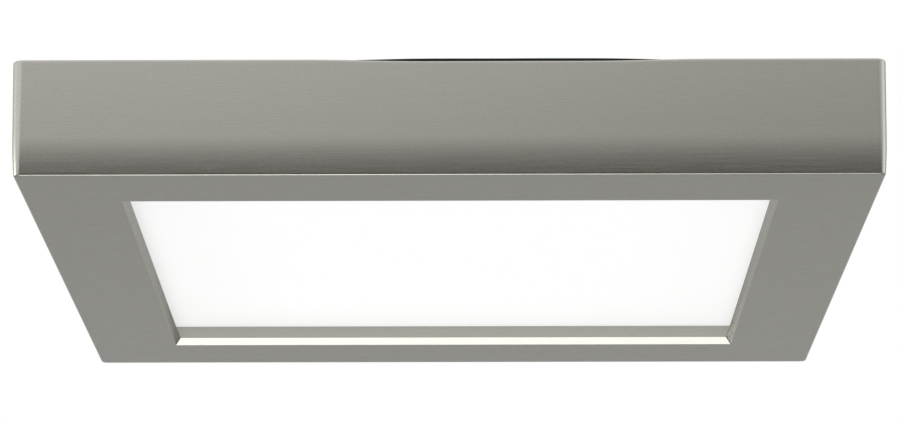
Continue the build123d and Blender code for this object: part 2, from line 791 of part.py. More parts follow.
# ------------------------------------------------------------------ spring clips
# The strip's middle line: foot, leg, a V whose nose reaches into the ear's window, and a flare.
foot_line_z = plate_top_z + clip_thickness / 2
nose_x = ear_face - clip_nose_depth
flare_top_z = clip_nose_z + clip_nose_rise + clip_flare_height
for name, direction in {"left": -1, "right": 1}.items():
    with BuildPart() as clip:
        with BuildSketch(Plane.XZ):
            with BuildLine():
                strip_line = FilletPolyline(
                    (direction * clip_foot_end, foot_line_z),
                    (direction * clip_leg_x, foot_line_z),
                    (direction * clip_leg_x, clip_nose_z - clip_nose_rise),
                    (direction * nose_x, clip_nose_z),
                    (direction * clip_leg_x, clip_nose_z + clip_nose_rise),
                    (direction * (clip_leg_x + clip_flare_reach), flare_top_z),
                    radius=clip_bend_radius,
                )
            trace(strip_line, line_width=clip_thickness)
        extrude(amount=clip_width / 2, both=True)
        with Locations((direction * clip_rivet_x, 0, plate_top_z + clip_thickness)):
            Hole(rivet_radius + fit_gap, depth=clip_thickness)
    save(clip, f"spring_clip_{name}")

with BuildPart() as clip_rivets:
    with BuildSketch(Plane.XY.offset(plate_top_z + clip_thickness)):
        with GridLocations(2 * clip_rivet_x, 0, 2, 1):
            Circle(rivet_head_radius)
    extrude(amount=rivet_head_height)
    fillet(clip_rivets.edges().group_by(Axis.Z)[-1], radius=rivet_head_round)
    with BuildSketch(Plane.XY.offset(plate_z)):
        with GridLocations(2 * clip_rivet_x, 0, 2, 1):
            Circle(rivet_radius)
    extrude(amount=plate_thickness + clip_thickness)
save(clip_rivets, "clip_rivets")
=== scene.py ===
"""The surfaces and finishes of a low square ceiling light, laid over its construction model.

Lengths are metres in the model's own frame: +Z goes up to the ceiling, +X to the right and +Y away
from the viewer of the front side. Colours are linear.
"""

import math

import bpy
import numpy as np
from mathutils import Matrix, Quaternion, Vector


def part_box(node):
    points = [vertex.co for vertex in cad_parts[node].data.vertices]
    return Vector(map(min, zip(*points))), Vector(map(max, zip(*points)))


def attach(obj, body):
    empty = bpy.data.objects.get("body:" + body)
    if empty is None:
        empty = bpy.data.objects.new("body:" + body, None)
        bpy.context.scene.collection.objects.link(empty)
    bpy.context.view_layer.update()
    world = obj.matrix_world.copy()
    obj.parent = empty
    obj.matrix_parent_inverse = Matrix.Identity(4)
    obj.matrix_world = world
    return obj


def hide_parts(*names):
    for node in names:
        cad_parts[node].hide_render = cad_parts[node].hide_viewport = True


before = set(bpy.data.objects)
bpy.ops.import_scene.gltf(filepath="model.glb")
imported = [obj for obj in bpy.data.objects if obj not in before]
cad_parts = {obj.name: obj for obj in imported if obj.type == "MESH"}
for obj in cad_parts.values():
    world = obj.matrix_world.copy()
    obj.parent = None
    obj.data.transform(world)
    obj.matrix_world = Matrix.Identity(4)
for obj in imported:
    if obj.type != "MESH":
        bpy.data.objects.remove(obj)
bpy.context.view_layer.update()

bl_info = {
    "name": "Square Ceiling Light",
    "version": (1, 0, 0),
    "blender": (4, 5, 0),
    "location": "3D View > Sidebar > Ceiling Light",
    "description": "Surfaces and finishes of a low square ceiling light",
    "category": "Object",
}

MM = 0.001
BRUSH_MAP = "brush"
WHITE = (1, 1, 1, 1)
SHEET_EDGE = 0.12 * MM
MOULDED_EDGE = 0.15 * MM


# ------------------------------------------------------------------ surfaces
def round_corners(corners, radii, steps):
    """A closed outline whose corners are arcs.

    A circle of each corner's radius touches both of its sides. The arc is the turn from one touching
    point to the other, with the two radii mixed by the sines of the angles that are left and done.
    """
    corners = np.asarray(corners, float)
    radii = np.asarray(radii, float)[:, None]
    back = np.roll(corners, 1, axis=0) - corners
    ahead = np.roll(corners, -1, axis=0) - corners
    back /= np.linalg.norm(back, axis=1, keepdims=True)
    ahead /= np.linalg.norm(ahead, axis=1, keepdims=True)
    half_angle = np.arccos(np.sum(back * ahead, axis=1, keepdims=True)) / 2
    middle = (back + ahead) / np.linalg.norm(back + ahead, axis=1, keepdims=True)
    centres = corners + middle * radii / np.sin(half_angle)
    reach = radii / np.tan(half_angle)
    first = corners + back * reach - centres
    last = corners + ahead * reach - centres
    turn = (np.pi - 2 * half_angle)[:, None]
    share = np.linspace(0, 1, steps + 1)[None, :, None]
    arcs = (np.sin((1 - share) * turn) * first[:, None] + np.sin(share * turn) * last[:, None]) / np.sin(turn)
    return centres[:, None] + arcs


def square_ring(corner_steps, side_steps):
    """The two vectors of each column of a ring round a square with rounded corners.

    A point on the ring is the column's corner vector times (half side - radius), plus its normal
    times the radius. Along a side the corner vector runs from one corner to the next.
    """
    angles = np.linspace(0, np.pi / 2, corner_steps + 1)
    share = np.linspace(0, 1, side_steps + 1)[1:-1, None]
    corners, normals = [], []
    for quarter in range(4):
        turned = angles + (quarter - 1) * np.pi / 2
        corner = np.sign([np.cos(turned.mean()), np.sin(turned.mean())])
        following = np.array([-corner[1], corner[0]])
        corners += [np.tile(corner, (corner_steps + 1, 1)), corner + (following - corner) * share]
        arc = np.stack([np.cos(turned), np.sin(turned)], axis=1)
        normals += [arc, np.tile(arc[-1], (side_steps - 1, 1))]
    return np.concatenate(corners), np.concatenate(normals)


def carry_round(ring, halves, radii, heights):
    """The profile carried round the ring: row j has half side halves[j] and corner radius radii[j]."""
    corners, normals = ring
    halves, radii, heights = (np.asarray(values, float) for values in (halves, radii, heights))
    plan = corners[None] * (halves - radii)[:, None, None] + normals[None] * radii[:, None, None]
    level = np.broadcast_to(heights[:, None, None], plan.shape[:2] + (1,))
    return np.concatenate([plan, level], axis=2)


def near_middle(points, foam_sizes):
    """1 on the stretch of each side where the foam is highest, eased down to 0 on both sides of it.

    The place along a side is whichever of x and y is nearer 0. p is its distance past the stretch over
    the length of the fall, held between 0 and 1, and the share is 1 - p^2 (3 - 2 p).
    """
    across, along = points[..., 0], points[..., 1]
    place = np.where(np.abs(across) < np.abs(along), across, along)
    past = np.abs(place - foam_sizes.gasket_middle) - foam_sizes.gasket_flat
    past = np.clip(past / foam_sizes.gasket_fall, 0, 1)
    return 1 - past**2 * (3 - 2 * past)


def profile_normals(outline):
    """Unit normals of a closed outline: the step from the point before to the point after, turned a
    quarter anticlockwise. A long stretch outweighs the short steps of an arc, so it stays flat.
    """
    tangent = np.roll(outline, -1, axis=0) - np.roll(outline, 1, axis=0)
    tangent /= np.linalg.norm(tangent, axis=1, keepdims=True)
    return np.stack([-tangent[:, 1], tangent[:, 0]], axis=1)


def grid_faces(rows, columns, close_rows):
    """Quads over a grid whose columns close on themselves, and its rows too if asked."""
    row = np.arange(rows if close_rows else rows - 1)[:, None]
    column = np.arange(columns)[None, :]
    next_row = (row + 1) % rows
    next_column = (column + 1) % columns
    return np.stack(
        [
            row * columns + column,
            next_row * columns + column,
            next_row * columns + next_column,
            row * columns + next_column,
        ],
        axis=2,
    ).reshape(-1, 4)


def join_parts(parts):
    """The faces of several parts as those of one mesh, and each of their other arrays end to end."""
    starts = np.cumsum([0] + [len(part["points"]) for part in parts]).tolist()
    faces = []
    for start, part in zip(starts, parts):
        faces += [[start + index for index in face] for face in part["faces"]]
    arrays = {name: np.concatenate([part[name] for part in parts]) for name in parts[0] if name != "faces"}
    return faces, arrays


def make_piece(name, points, faces, normals=None, brush=None, attributes=None, material_index=None):
    """A smooth mesh object at the origin, with its place in its points."""
    mesh = bpy.data.meshes.new(name)
    mesh.from_pydata(np.asarray(points).reshape(-1, 3).tolist(), [], [list(face) for face in faces])
    mesh.polygons.foreach_set("use_smooth", np.ones(len(mesh.polygons), bool))
    if brush is not None:
        layer = mesh.uv_layers.new(name=BRUSH_MAP)
        layer.data.foreach_set("uv", np.asarray(brush, np.float32).ravel())
    for attribute_name, values in (attributes or {}).items():
        attribute = mesh.attributes.new(attribute_name, "FLOAT", "POINT")
        attribute.data.foreach_set("value", np.asarray(values, np.float32).ravel())
    if material_index is not None:
        mesh.polygons.foreach_set("material_index", np.asarray(material_index, np.int32))
    if normals is not None:
        mesh.normals_split_custom_set_from_vertices(np.asarray(normals).reshape(-1, 3).tolist())
    mesh.update()
    piece = bpy.data.objects.new(name, mesh)
    bpy.context.scene.collection.objects.link(piece)
    return piece


# ------------------------------------------------------------------ finishes
class Nodes:
    """A node tree whose nodes are added and joined by short calls."""

    def __init__(self, tree):
        self.tree = tree
        self.tree.nodes.clear()

    def join(self, value, socket):
        """Link another node's output to a socket, or set the socket's own value."""
        if isinstance(value, bpy.types.NodeSocket):
            self.tree.links.new(value, socket)
        else:
            socket.default_value = value

    def put(self, node, sockets):
        """Set or join a node's sockets. A _ in a name stands for a space."""
        for name, value in sockets.items():
            self.join(value, node.inputs[name.replace("_", " ")])

    def node(self, kind, settings=None, **sockets):
        """A new node. settings are its own properties, and sockets take a value or another node's output."""
        made = self.tree.nodes.new(kind)
        for name, value in (settings or {}).items():
            setattr(made, name, value)
        self.put(made, sockets)
        return made

    def math(self, operation, first, second=0.0):
        """What one operation makes of a value, or of two."""
        made = self.node("ShaderNodeMath", {"operation": operation})
        for socket, value in zip(made.inputs, (first, second)):
            self.join(value, socket)
        return made.outputs["Value"]

    def rays(self, *kinds):
        """An output that is 1 for rays of the kinds named, and 0 for the rest."""
        path = self.node("ShaderNodeLightPath")
        share = path.outputs[kinds[0]]
        for kind in kinds[1:]:
            share = self.math("MAXIMUM", share, path.outputs[kind])
        return share

    def mix_shaders(self, share, first, second):
        """A shader between those of two nodes."""
        made = self.node("ShaderNodeMixShader", Fac=share)
        for socket, part in zip(made.inputs[1:], (first, second)):
            self.join(part.outputs[0], socket)
        return made.outputs[0]


class Finish(Nodes):
    """A material with one shader and the patterns that feed it."""

    def __init__(self, name):
        self.material = bpy.data.materials.new(name)
        self.material.use_nodes = True
        super().__init__(self.material.node_tree)
        self.shader = self.node("ShaderNodeBsdfPrincipled")
        self.output = self.node("ShaderNodeOutputMaterial", Surface=self.shader.outputs["BSDF"])

    def surface(self, **sockets):
        """Set or join the shader's own sockets."""
        self.put(self.shader, sockets)
        return self

    def place(self, stretch=(1, 1, 1), by_map=False):
        """Object coordinates, or the piece's own brush map, stretched."""
        if by_map:
            source = self.node("ShaderNodeUVMap", {"uv_map": BRUSH_MAP}).outputs["UV"]
        else:
            source = self.node("ShaderNodeTexCoord").outputs["Object"]
        return self.node("ShaderNodeMapping", Vector=source, Scale=stretch).outputs["Vector"]

    def noise(self, place, scale, detail, roughness=0.5):
        """Noise about 0.5, with the given number of waves in a metre."""
        made = self.node("ShaderNodeTexNoise", Vector=place, Scale=scale, Detail=detail, Roughness=roughness)
        return made.outputs["Fac"]

    def cells(self, place, scale):
        """Distance to the nearest cell's middle."""
        return self.node("ShaderNodeTexVoronoi", Vector=place, Scale=scale).outputs["Distance"]

    def ramp(self, value, low, high, start=0.0, end=1.0):
        """value between low and high, mapped to between start and end and held there."""
        sockets = {"From_Min": low, "From_Max": high, "To_Min": start, "To_Max": end}
        return self.node("ShaderNodeMapRange", Value=value, **sockets).outputs["Result"]

    def mix(self, share, first, second):
        """A colour between two, which are colours or other nodes' outputs."""
        made = self.node("ShaderNodeMix", {"data_type": "RGBA"})
        # The node has sockets for each type of value, and these are the share's and the two colours'.
        for index, value in {0: share, 6: first, 7: second}.items():
            self.join((*value, 1) if isinstance(value, tuple) else value, made.inputs[index])
        return made.outputs[2]

    def attribute(self, name):
        """A float that the mesh carries at its points."""
        return self.node("ShaderNodeAttribute", {"attribute_name": name}).outputs["Fac"]

    def relief(self, height, depth, strength, over=None):
        """A bumped normal. depth is in metres, and over is the normal that it starts from."""
        sockets = {"Height": height, "Distance": depth, "Strength": strength}
        if over is not None:
            sockets["Normal"] = over
        return self.node("ShaderNodeBump", **sockets).outputs["Normal"]

    def soft_edges(self, radius):
        """A normal that rounds the sharp edges of a plain solid."""
        return self.node("ShaderNodeBevel", {"samples": 4}, Radius=radius).outputs["Normal"]


def shade(colour, factor):
    """A colour made lighter or darker."""
    return tuple(min(1.0, part * factor) for part in colour)


def brushed_metal(name, colour, roughness, stretch, scale, contrast=0.05):
    """Rolled or brushed sheet: streaks across the stretch, broad clouds and a few bright scratches."""
    finish = Finish(name)
    along = finish.place(stretch)
    streaks = finish.noise(along, scale, detail=4, roughness=0.65)
    clouds = finish.noise(finish.place(), scale=38, detail=3)
    scratches = finish.ramp(finish.noise(along, scale=scale / 3, detail=6, roughness=0.8), 0.68, 0.74)
    tone = finish.mix(streaks, shade(colour, 1 - contrast), shade(colour, 1 + contrast))
    tone = finish.mix(finish.ramp(clouds, 0.35, 0.7, 0, 0.25), tone, shade(colour, 0.82))
    tone = finish.mix(finish.math("MULTIPLY", scratches, 0.3), tone, shade(colour, 1.25))
    uneven = finish.math("ADD", finish.ramp(streaks, 0.2, 0.8, -0.05, 0.05), roughness)
    uneven = finish.math("ADD", uneven, finish.ramp(clouds, 0.3, 0.7, -0.03, 0.05))
    normal = finish.relief(streaks, depth=1.2e-6, strength=0.5, over=finish.soft_edges(SHEET_EDGE))
    return finish.surface(Base_Color=tone, Metallic=1.0, Roughness=uneven, Normal=normal)


def moulded_plastic(name, colour, roughness, grain=2600, depth=4e-6):
    """Moulded plastic: a spark-eroded texture, faint flow marks and rounded edges."""
    finish = Finish(name)
    place = finish.place()
    texture = finish.noise(place, scale=grain, detail=3, roughness=0.6)
    flow = finish.noise(finish.place((1, 3, 3)), scale=30, detail=3)
    tone = finish.mix(finish.ramp(flow, 0.3, 0.7), shade(colour, 0.94), shade(colour, 1.03))
    tone = finish.mix(finish.ramp(texture, 0.4, 0.7, 0, 0.2), tone, shade(colour, 0.88))
    uneven = finish.math("ADD", finish.ramp(texture, 0.3, 0.7, -0.05, 0.06), roughness)
    normal = finish.relief(texture, depth, strength=0.6, over=finish.soft_edges(MOULDED_EDGE))
    return finish.surface(Base_Color=tone, Roughness=uneven, Normal=normal)


def foam(name, colour, cell_scale):
    """Foam: rounded cells whose hollow middles are darker as painted shade, and a soft surface."""
    finish = Finish(name)
    place = finish.place()
    pores = finish.cells(place, scale=cell_scale)
    fine = finish.cells(place, scale=cell_scale * 2.3)
    clouds = finish.noise(place, scale=60, detail=3)
    height = finish.math("ADD", pores, finish.math("MULTIPLY", fine, 0.5))
    # Painted shade: the middles of the cells, where the bump is lowest, are darker than their rims.
    tone = finish.mix(finish.ramp(pores, 0.1, 0.7), shade(colour, 0.6), shade(colour, 1.3))
    tone = finish.mix(finish.ramp(clouds, 0.35, 0.65, 0, 0.3), tone, shade(colour, 1.6))
    uneven = finish.ramp(fine, 0, 0.8, 0.8, 0.98)
    normal = finish.relief(height, depth=8e-5, strength=0.8)
    return finish.surface(Base_Color=tone, Roughness=uneven, Normal=normal)


def dress(names, finish):
    """Give carried-over nodes a finish."""
    for name in names:
        for material_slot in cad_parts[name].material_slots:
            material_slot.material = finish.material


def stand_for(piece, nodes, body):
    """A new piece stands for nodes of the model, which are hidden, and rides on their body."""
    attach(piece, body)
    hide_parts(*nodes)


# ------------------------------------------------------------------ settings
def length(name, description, default):
    """A size that a user may change, given here in millimetres."""
    return bpy.props.FloatProperty(
        name=name, description=description, default=default * MM, min=0, unit="LENGTH", precision=5
    )


def factor(name, description, default, highest=1.0):
    """A share or a strength that a user may change."""
    return bpy.props.FloatProperty(name=name, description=description, default=default, min=0, max=highest)


def angle(name, description, default):
    """An angle that a user may change, given here in degrees."""
    return bpy.props.FloatProperty(
        name=name, description=description, default=math.radians(default), subtype="ANGLE"
    )


def colour(name, description, default):
    """A colour that a user may change."""
    return bpy.props.FloatVectorProperty(
        name=name, description=description, default=default, size=3, subtype="COLOR", min=0, max=1
    )


class HousingSettings(bpy.types.PropertyGroup):
    """Sizes of the housing, which its box doesn't tell, and the colours of its metal"""

    side: length("Side", "Width and depth of the housing at its rim", 178.0)
    wall: length("Wall", "Thickness of the four sides", 1.5)
    floor: length("Floor", "Thickness of the border round the window", 2.0)
    corner_radius: length("Corner radius", "Radius of the four upright corners", 2.2)
    border_width: length("Border width", "From the rim's outer face to the window's chamfer", 20.9)
    chamfer_width: length("Chamfer width", "Width of the window's chamfer", 1.2)
    chamfer_height: length("Chamfer height", "Height of the window's chamfer", 1.6)
    relief: length("Relief", "How far the window widens from its chamfer up to the diffuser", 1.1)
    recess: length("Recess", "From the underside up to the ledge", 4.65)
    ledge_inset: length("Ledge inset", "From the rim's outer face to the ledge's outer side", 15.2)
    side_lean: length("Side lean", "How far a side has leaned in where its roll starts", 0.3)
    roll_height: length("Roll height", "Height of the stretch that leans in further on a large arc", 8.0)
    roll_radius: length("Roll radius", "Radius of that arc", 100.0)
    gasket_seat: length("Gasket seat", "Depth below the rim down to which the inner face is upright", 2.8)
    rim_dip: length("Rim dip", "How much lower the rim is where the foam shows along each side", 0.4)
    dip_reach: length("Dip reach", "Depth below the rim over which the dip fades out", 3.0)
    edge_radius: length("Edge radius", "Radius of the edges at a side's foot and rim", 0.4)
    rim_radius: length("Rim radius", "Radius of the inner edges", 0.18)
    fine_radius: length("Fine radius", "Radius of the chamfer's edges", 0.08)
    cast_radius: length("Cast radius", "Radius of the corners inside the casting", 0.7)
    window_radius: length("Window radius", "Radius of the window's corners at the diffuser", 0.8)
    boss_radius: length("Boss radius", "Radius of the posts for the back plate's screws", 3.5)
    boss_inset: length("Boss inset", "From the inner face to a post's centre", 6.0)
    boss_web: length("Boss web", "Thickness of the web from a post to the housing's corner", 1.6)
    boss_edge: length("Boss edge", "Width of the bevels at a post's top and foot", 0.2)
    web_gap: length("Web gap", "How far a web stops short of the sharp inner corner", 0.1)
    screw_hole: length("Screw hole", "Radius of the hole in each post", 1.55)
    screw_depth: length("Screw depth", "Depth of the hole in each post", 7.0)
    nickel: colour("Nickel", "Colour of the brushed sides and underside", (0.41, 0.402, 0.364))
    cut_metal: colour("Cut metal", "Colour of the chamfer and the edges", (0.43, 0.421, 0.385))
    cast_metal: colour("Cast metal", "Colour of the casting's inside", (0.52, 0.52, 0.52))
    roughness: factor("Roughness", "Roughness of the brushed metal", 0.26)
    grain: factor("Grain", "How far the brush lines stand out", 0.05)


class FoamSettings(bpy.types.PropertyGroup):
    """Sizes and colours of the foam gasket and pads"""

    gasket_width: length("Gasket width", "Width of the foam round the rim", 3.0)
    gasket_press: length("Gasket press", "How far the foam is pressed down where it is highest", 0.22)
    gasket_sag: length("Gasket sag", "How much lower the foam is beside its highest stretch", 0.5)
    gasket_middle: length("Gasket middle", "Where on each side the foam is highest", 12.0)
    gasket_flat: length("Gasket flat", "Half length of that highest stretch", 17.0)
    gasket_fall: length("Gasket fall", "Length over which the foam sags from there", 24.0)
    gasket_round: length("Gasket round", "Radius of the foam's edges", 0.12)
    gasket_corner: length("Gasket corner", "Radius of the foam's outer corners", 0.7)
    gasket_inner: length("Gasket inner corner", "Radius of the foam's inner corners", 0.15)
    gasket_wave: length("Gasket wave", "Half the height of the slow waves along the foam", 0.01)
    pad_line: length("Pad line", "From the middle to each pad's middle line", 50.0)
    pad_width: length("Pad width", "Width of a pad", 8.0)
    pad_length: length("Pad length", "Length of a pad", 84.0)
    pad_bulge: length("Pad bulge", "How far a pressed pad's sides stand out", 0.35)
    pad_corner: length("Pad corner", "Radius of a pad's corners", 0.8)
    pad_edge: length("Pad edge", "How far a pad's flat faces end inside its sides", 0.6)
    black: colour("Black foam", "Colour of the gasket", (0.012, 0.012, 0.013))
    grey: colour("Grey foam", "Colour of the pads", (0.09, 0.09, 0.095))


class PanelSettings(bpy.types.PropertyGroup):
    """Light and colours of the lit panel"""

    opal: colour("Opal", "Colour of the diffuser", (0.4, 0.4, 0.4))
    glow: factor("Glow", "Light that the diffuser gives off, where 1 is white", 0.7, 20.0)
    rim_glow: factor("Rim glow", "Share of that light left at the diffuser's edge", 0.93)


class StageSettings(bpy.types.PropertyGroup):
    """Camera, floor and lamps"""

    camera_place: bpy.props.FloatVectorProperty(
        name="Camera", description="Place of the camera", default=(0.004070, -0.765173, -0.212293),
        size=3, subtype="TRANSLATION", precision=5,
    )
    yaw: angle("Yaw", "Camera's turn to the right of +Y", -0.3314)
    pitch: angle("Pitch", "Camera's tilt above the horizon", 14.871)
    roll: angle("Roll", "Camera's turn about its own axis", -0.039)
    lens: bpy.props.FloatProperty(
        name="Lens", description="Focal length on a 36 mm wide sensor", default=139.14, unit="CAMERA"
    )
    floor_level: bpy.props.FloatProperty(
        name="Floor level", description="Height of the floor", default=-2.4, unit="LENGTH"
    )
    ambient: factor("Ambient", "Even light from all round", 0.55, 10.0)


# ------------------------------------------------------------------ housing
def side_inset(sizes, depth, height):
    """How far a side has leaned in at a depth below the rim.

    A straight slope down to the roll's start. From there an arc that is tangent to the slope: its
    radius times the difference between the cosines of the slope's angle and the arc's own.
    """
    roll_start = height - sizes.roll_height
    slope_angle = math.atan(sizes.side_lean / roll_start)
    below = np.clip(depth - roll_start, 0, sizes.roll_height)
    arc_angle = np.arcsin(math.sin(slope_angle) + below / sizes.roll_radius)
    roll = sizes.roll_radius * (math.cos(slope_angle) - np.cos(arc_angle))
    return sizes.side_lean * np.clip(depth / roll_start, 0, 1) + roll


def housing_outline(sizes, rim, underside):
    """The housing's closed section: insets from the rim's outer face, heights, and two marks for each point.

    From the rim down the outer face, along the underside, up the chamfer and the window's wall, back
    over the ledge, down to the floor, and up the inner face to the rim. The first mark is how brightly
    the point is cut, and the second says whether it lies on the casting's raw inside.
    """
    height = rim - underside
    chamfer_end = sizes.border_width + sizes.chamfer_width
    ledge = underside + sizes.recess
    floor = underside + sizes.floor
    seat = rim - sizes.gasket_seat
    inner_lean = sizes.side_lean * (seat - floor) / (height - sizes.roll_height)
    # Inset, height, radius, steps to the next corner, cut mark of the corner and of the stretch after it.
    corners = [
        (0, rim, sizes.edge_radius, 44, 0, 0),
        (0, underside, sizes.edge_radius, 10, 0.6, 0),
        (sizes.border_width, underside, sizes.fine_radius, 2, 1, 1),
        (chamfer_end, underside + sizes.chamfer_height, sizes.fine_radius, 4, 1, 0),
        (chamfer_end - sizes.relief, ledge, sizes.fine_radius, 2, 0, 0),
        (sizes.ledge_inset, ledge, sizes.rim_radius, 1, 0, 0),
        (sizes.ledge_inset, floor, sizes.cast_radius, 4, 0, 0),
        (sizes.wall + inner_lean, floor, sizes.cast_radius, 6, 0, 0),
        (sizes.wall, seat, sizes.cast_radius, 2, 0, 0),
        (sizes.wall, rim, sizes.rim_radius, 1, 0, 0),
    ]
    raw_corners = range(5, 9)  # from the ledge's outer side round to the gasket's seat
    inset, level, radii, between, corner_cut, stretch_cut = zip(*corners)
    arcs = round_corners(np.stack([inset, level], axis=1), radii, steps=10)
    rows, cut, raw = [], [], []
    for index, arc in enumerate(arcs):
        following = arcs[(index + 1) % len(arcs)][0]
        share = np.linspace(0, 1, between[index] + 1)[1:-1, None]
        rows += [arc, arc[-1] + (following - arc[-1]) * share]
        # An arc's ends have the mark of the stretches that they touch, so it doesn't spread along them.
        arc_cut = np.full(len(arc), corner_cut[index], float)
        arc_cut[[0, -1]] = stretch_cut[index - 1], stretch_cut[index]
        cut += [arc_cut, np.full(len(share), stretch_cut[index])]
        raw_corner = index in raw_corners
        raw += [np.full(len(arc), raw_corner), np.full(len(share), raw_corner or index + 1 in raw_corners)]
    outline = np.concatenate(rows)
    # The outer face leans in with depth, and the lean fades out along the underside. These two are
    # the first two arcs and the stretches after them.
    outer_parts = rows[:4]
    seen = np.arange(len(outline)) < sum(len(part) for part in outer_parts)
    fade = np.clip(1 - outline[:, 0] / sizes.border_width, 0, 1)
    outline[:, 0] += np.where(seen, side_inset(sizes, rim - outline[:, 1], height) * fade, 0)
    return outline, np.concatenate(cut), np.concatenate(raw)


def housing_grid(sizes, foam_sizes, outline, rim, underside):
    """The housing's points and normals: its section carried round the square, with the rim dipped.

    A section's row has half side (side / 2 - inset). Its corner radius is the housing's less the inset,
    but at least the window's, which grows from a share of itself at the underside to all of it at the ledge.
    """
    sharpest = 0.2
    halves = sizes.side / 2 - outline[:, 0]
    up_the_window = np.clip((outline[:, 1] - underside) / sizes.recess, sharpest, 1)
    radii = np.maximum(sizes.corner_radius - outline[:, 0], sizes.window_radius * up_the_window)
    ring = square_ring(corner_steps=10, side_steps=32)
    points = carry_round(ring, halves, radii, outline[:, 1])
    near_rim = np.clip(1 - (rim - outline[:, 1]) / sizes.dip_reach, 0, 1)[:, None]
    points[..., 2] -= sizes.rim_dip * near_rim * near_middle(points, foam_sizes)
    flat = profile_normals(np.stack([halves, outline[:, 1]], axis=1))
    outward = ring[1][None] * flat[:, 0][:, None, None]
    upward = np.broadcast_to(flat[:, 1][:, None, None], points.shape[:2] + (1,))
    return points, np.concatenate([outward, upward], axis=2)


def brush_map(outline, points, normals, faces):
    """Where each corner of each face lies along and across the brush lines, in metres.

    On the walls that is the distance round the housing and the distance along its section. Where a
    face's first corner looks down, as on the underside, it is x and y.
    """
    down_facing = -0.9
    rows, columns = points.shape[:2]
    side_row = points[rows // 8]  # one on the outer face
    steps = np.linalg.norm(np.roll(side_row, -1, axis=0) - side_row, axis=1)
    around = np.concatenate([[0], np.cumsum(steps)])
    section_steps = np.linalg.norm(np.roll(outline, -1, axis=0) - outline, axis=1)
    along_section = np.concatenate([[0], np.cumsum(section_steps)])
    row, column = np.divmod(np.arange(rows * columns), columns)
    by_side = np.stack(
        [
            np.stack([around[column + right], along_section[row + down]], axis=1)
            for right, down in ((0, 0), (0, 1), (1, 1), (1, 0))
        ],
        axis=1,
    )
    by_plan = points.reshape(-1, 3)[faces][:, :, :2]
    level = normals.reshape(-1, 3)[:, 2] < down_facing
    return np.where(level[:, None, None], by_plan, by_side).reshape(-1, 2)


def corner_post(sizes, centre, top, foot):
    """One screw post with its web. Rows go up the outside, over the top and down the hole.

    In polar form about the post's centre, with a the angle from the housing's corner, the web's radius
    is the smaller of half its thickness / sin a and its reach / cos a. On the corner's side of the post
    the radius is the larger of the post's own and the web's.
    """
    columns = 96
    edge = sizes.boss_edge
    angle = np.linspace(0, 2 * np.pi, columns, endpoint=False)
    toward_corner = np.arctan2(centre[1], centre[0])
    off = np.abs((angle - toward_corner + np.pi) % (2 * np.pi) - np.pi)
    reach = math.sqrt(2) * sizes.boss_inset - sizes.web_gap
    sine, cosine = (np.maximum(part, 1e-6) for part in (np.sin(off), np.cos(off)))
    web = np.minimum(sizes.boss_web / 2 / sine, reach / cosine)
    outside = np.where(off < np.pi / 2, np.maximum(sizes.boss_radius, web), sizes.boss_radius)
    # Share of the outside's radius, the rest being the hole's, then offset and height.
    rows = [
        (1, 1.2 * edge, foot),
        (1, edge, foot + edge),
        (1, 0, foot + 3 * edge),
        (1, 0, top - edge),
        (1, -0.3 * edge, top - 0.3 * edge),
        (1, -edge, top),
        (0, edge, top),
        (0, 0, top - edge),
        (0, 0, top - sizes.screw_depth),
    ]
    share, offset, height = (np.array(values)[:, None] for values in zip(*rows))
    radius = share * outside + (1 - share) * sizes.screw_hole + offset
    level = np.broadcast_to(height, radius.shape)
    points = np.stack([centre[0] + radius * np.cos(angle), centre[1] + radius * np.sin(angle), level], axis=2)
    # A row upward and a column anticlockwise face inward here, so each quad is turned round.
    sides = grid_faces(len(rows), columns, close_rows=False)[:, ::-1].tolist()
    count = len(rows) * columns
    caps = [list(range(columns - 1, -1, -1)), list(range(count - columns, count))]
    return points.reshape(-1, 3), sides + caps


def nickel(sizes):
    """Brushed nickel: fine lines along the map, faint bands, and cut edges that are brighter and smoother."""
    finish = Finish("brushed_nickel")
    # Waves in a metre along and across the brush lines.
    line_waves, band_waves = (60, 7000, 1), (1.6, 420, 1)
    lines = finish.noise(finish.place(line_waves, by_map=True), scale=1.0, detail=3, roughness=0.6)
    bands = finish.noise(finish.place(band_waves, by_map=True), scale=1.0, detail=2)
    clouds = finish.noise(finish.place(), scale=14, detail=2)
    cut = finish.attribute("cut")
    grain = sizes.grain
    tone = finish.mix(lines, shade(sizes.nickel, 1 - grain), shade(sizes.nickel, 1 + grain))
    tone = finish.mix(finish.ramp(bands, 0.3, 0.7, 0, 0.35), tone, shade(sizes.nickel, 1 - 0.8 * grain))
    tone = finish.mix(finish.ramp(clouds, 0.3, 0.7, 0, 0.3), tone, shade(sizes.nickel, 1 + 0.6 * grain))
    tone = finish.mix(cut, tone, tuple(sizes.cut_metal))
    rough = finish.math("ADD", finish.ramp(lines, 0.2, 0.8, -0.04, 0.05), sizes.roughness)
    rough = finish.math("ADD", rough, finish.math("MULTIPLY", cut, -0.08))
    normal = finish.relief(lines, depth=1.0e-6, strength=0.35)
    tangent = finish.node("ShaderNodeTangent", {"direction_type": "UV_MAP", "uv_map": BRUSH_MAP}).outputs[0]
    finish.surface(Base_Color=tone, Metallic=1.0, Roughness=rough, Normal=normal, Tangent=tangent)
    # A quarter turn, because the lines scatter light across themselves.
    return finish.surface(Anisotropic=0.3, Anisotropic_Rotation=0.25)


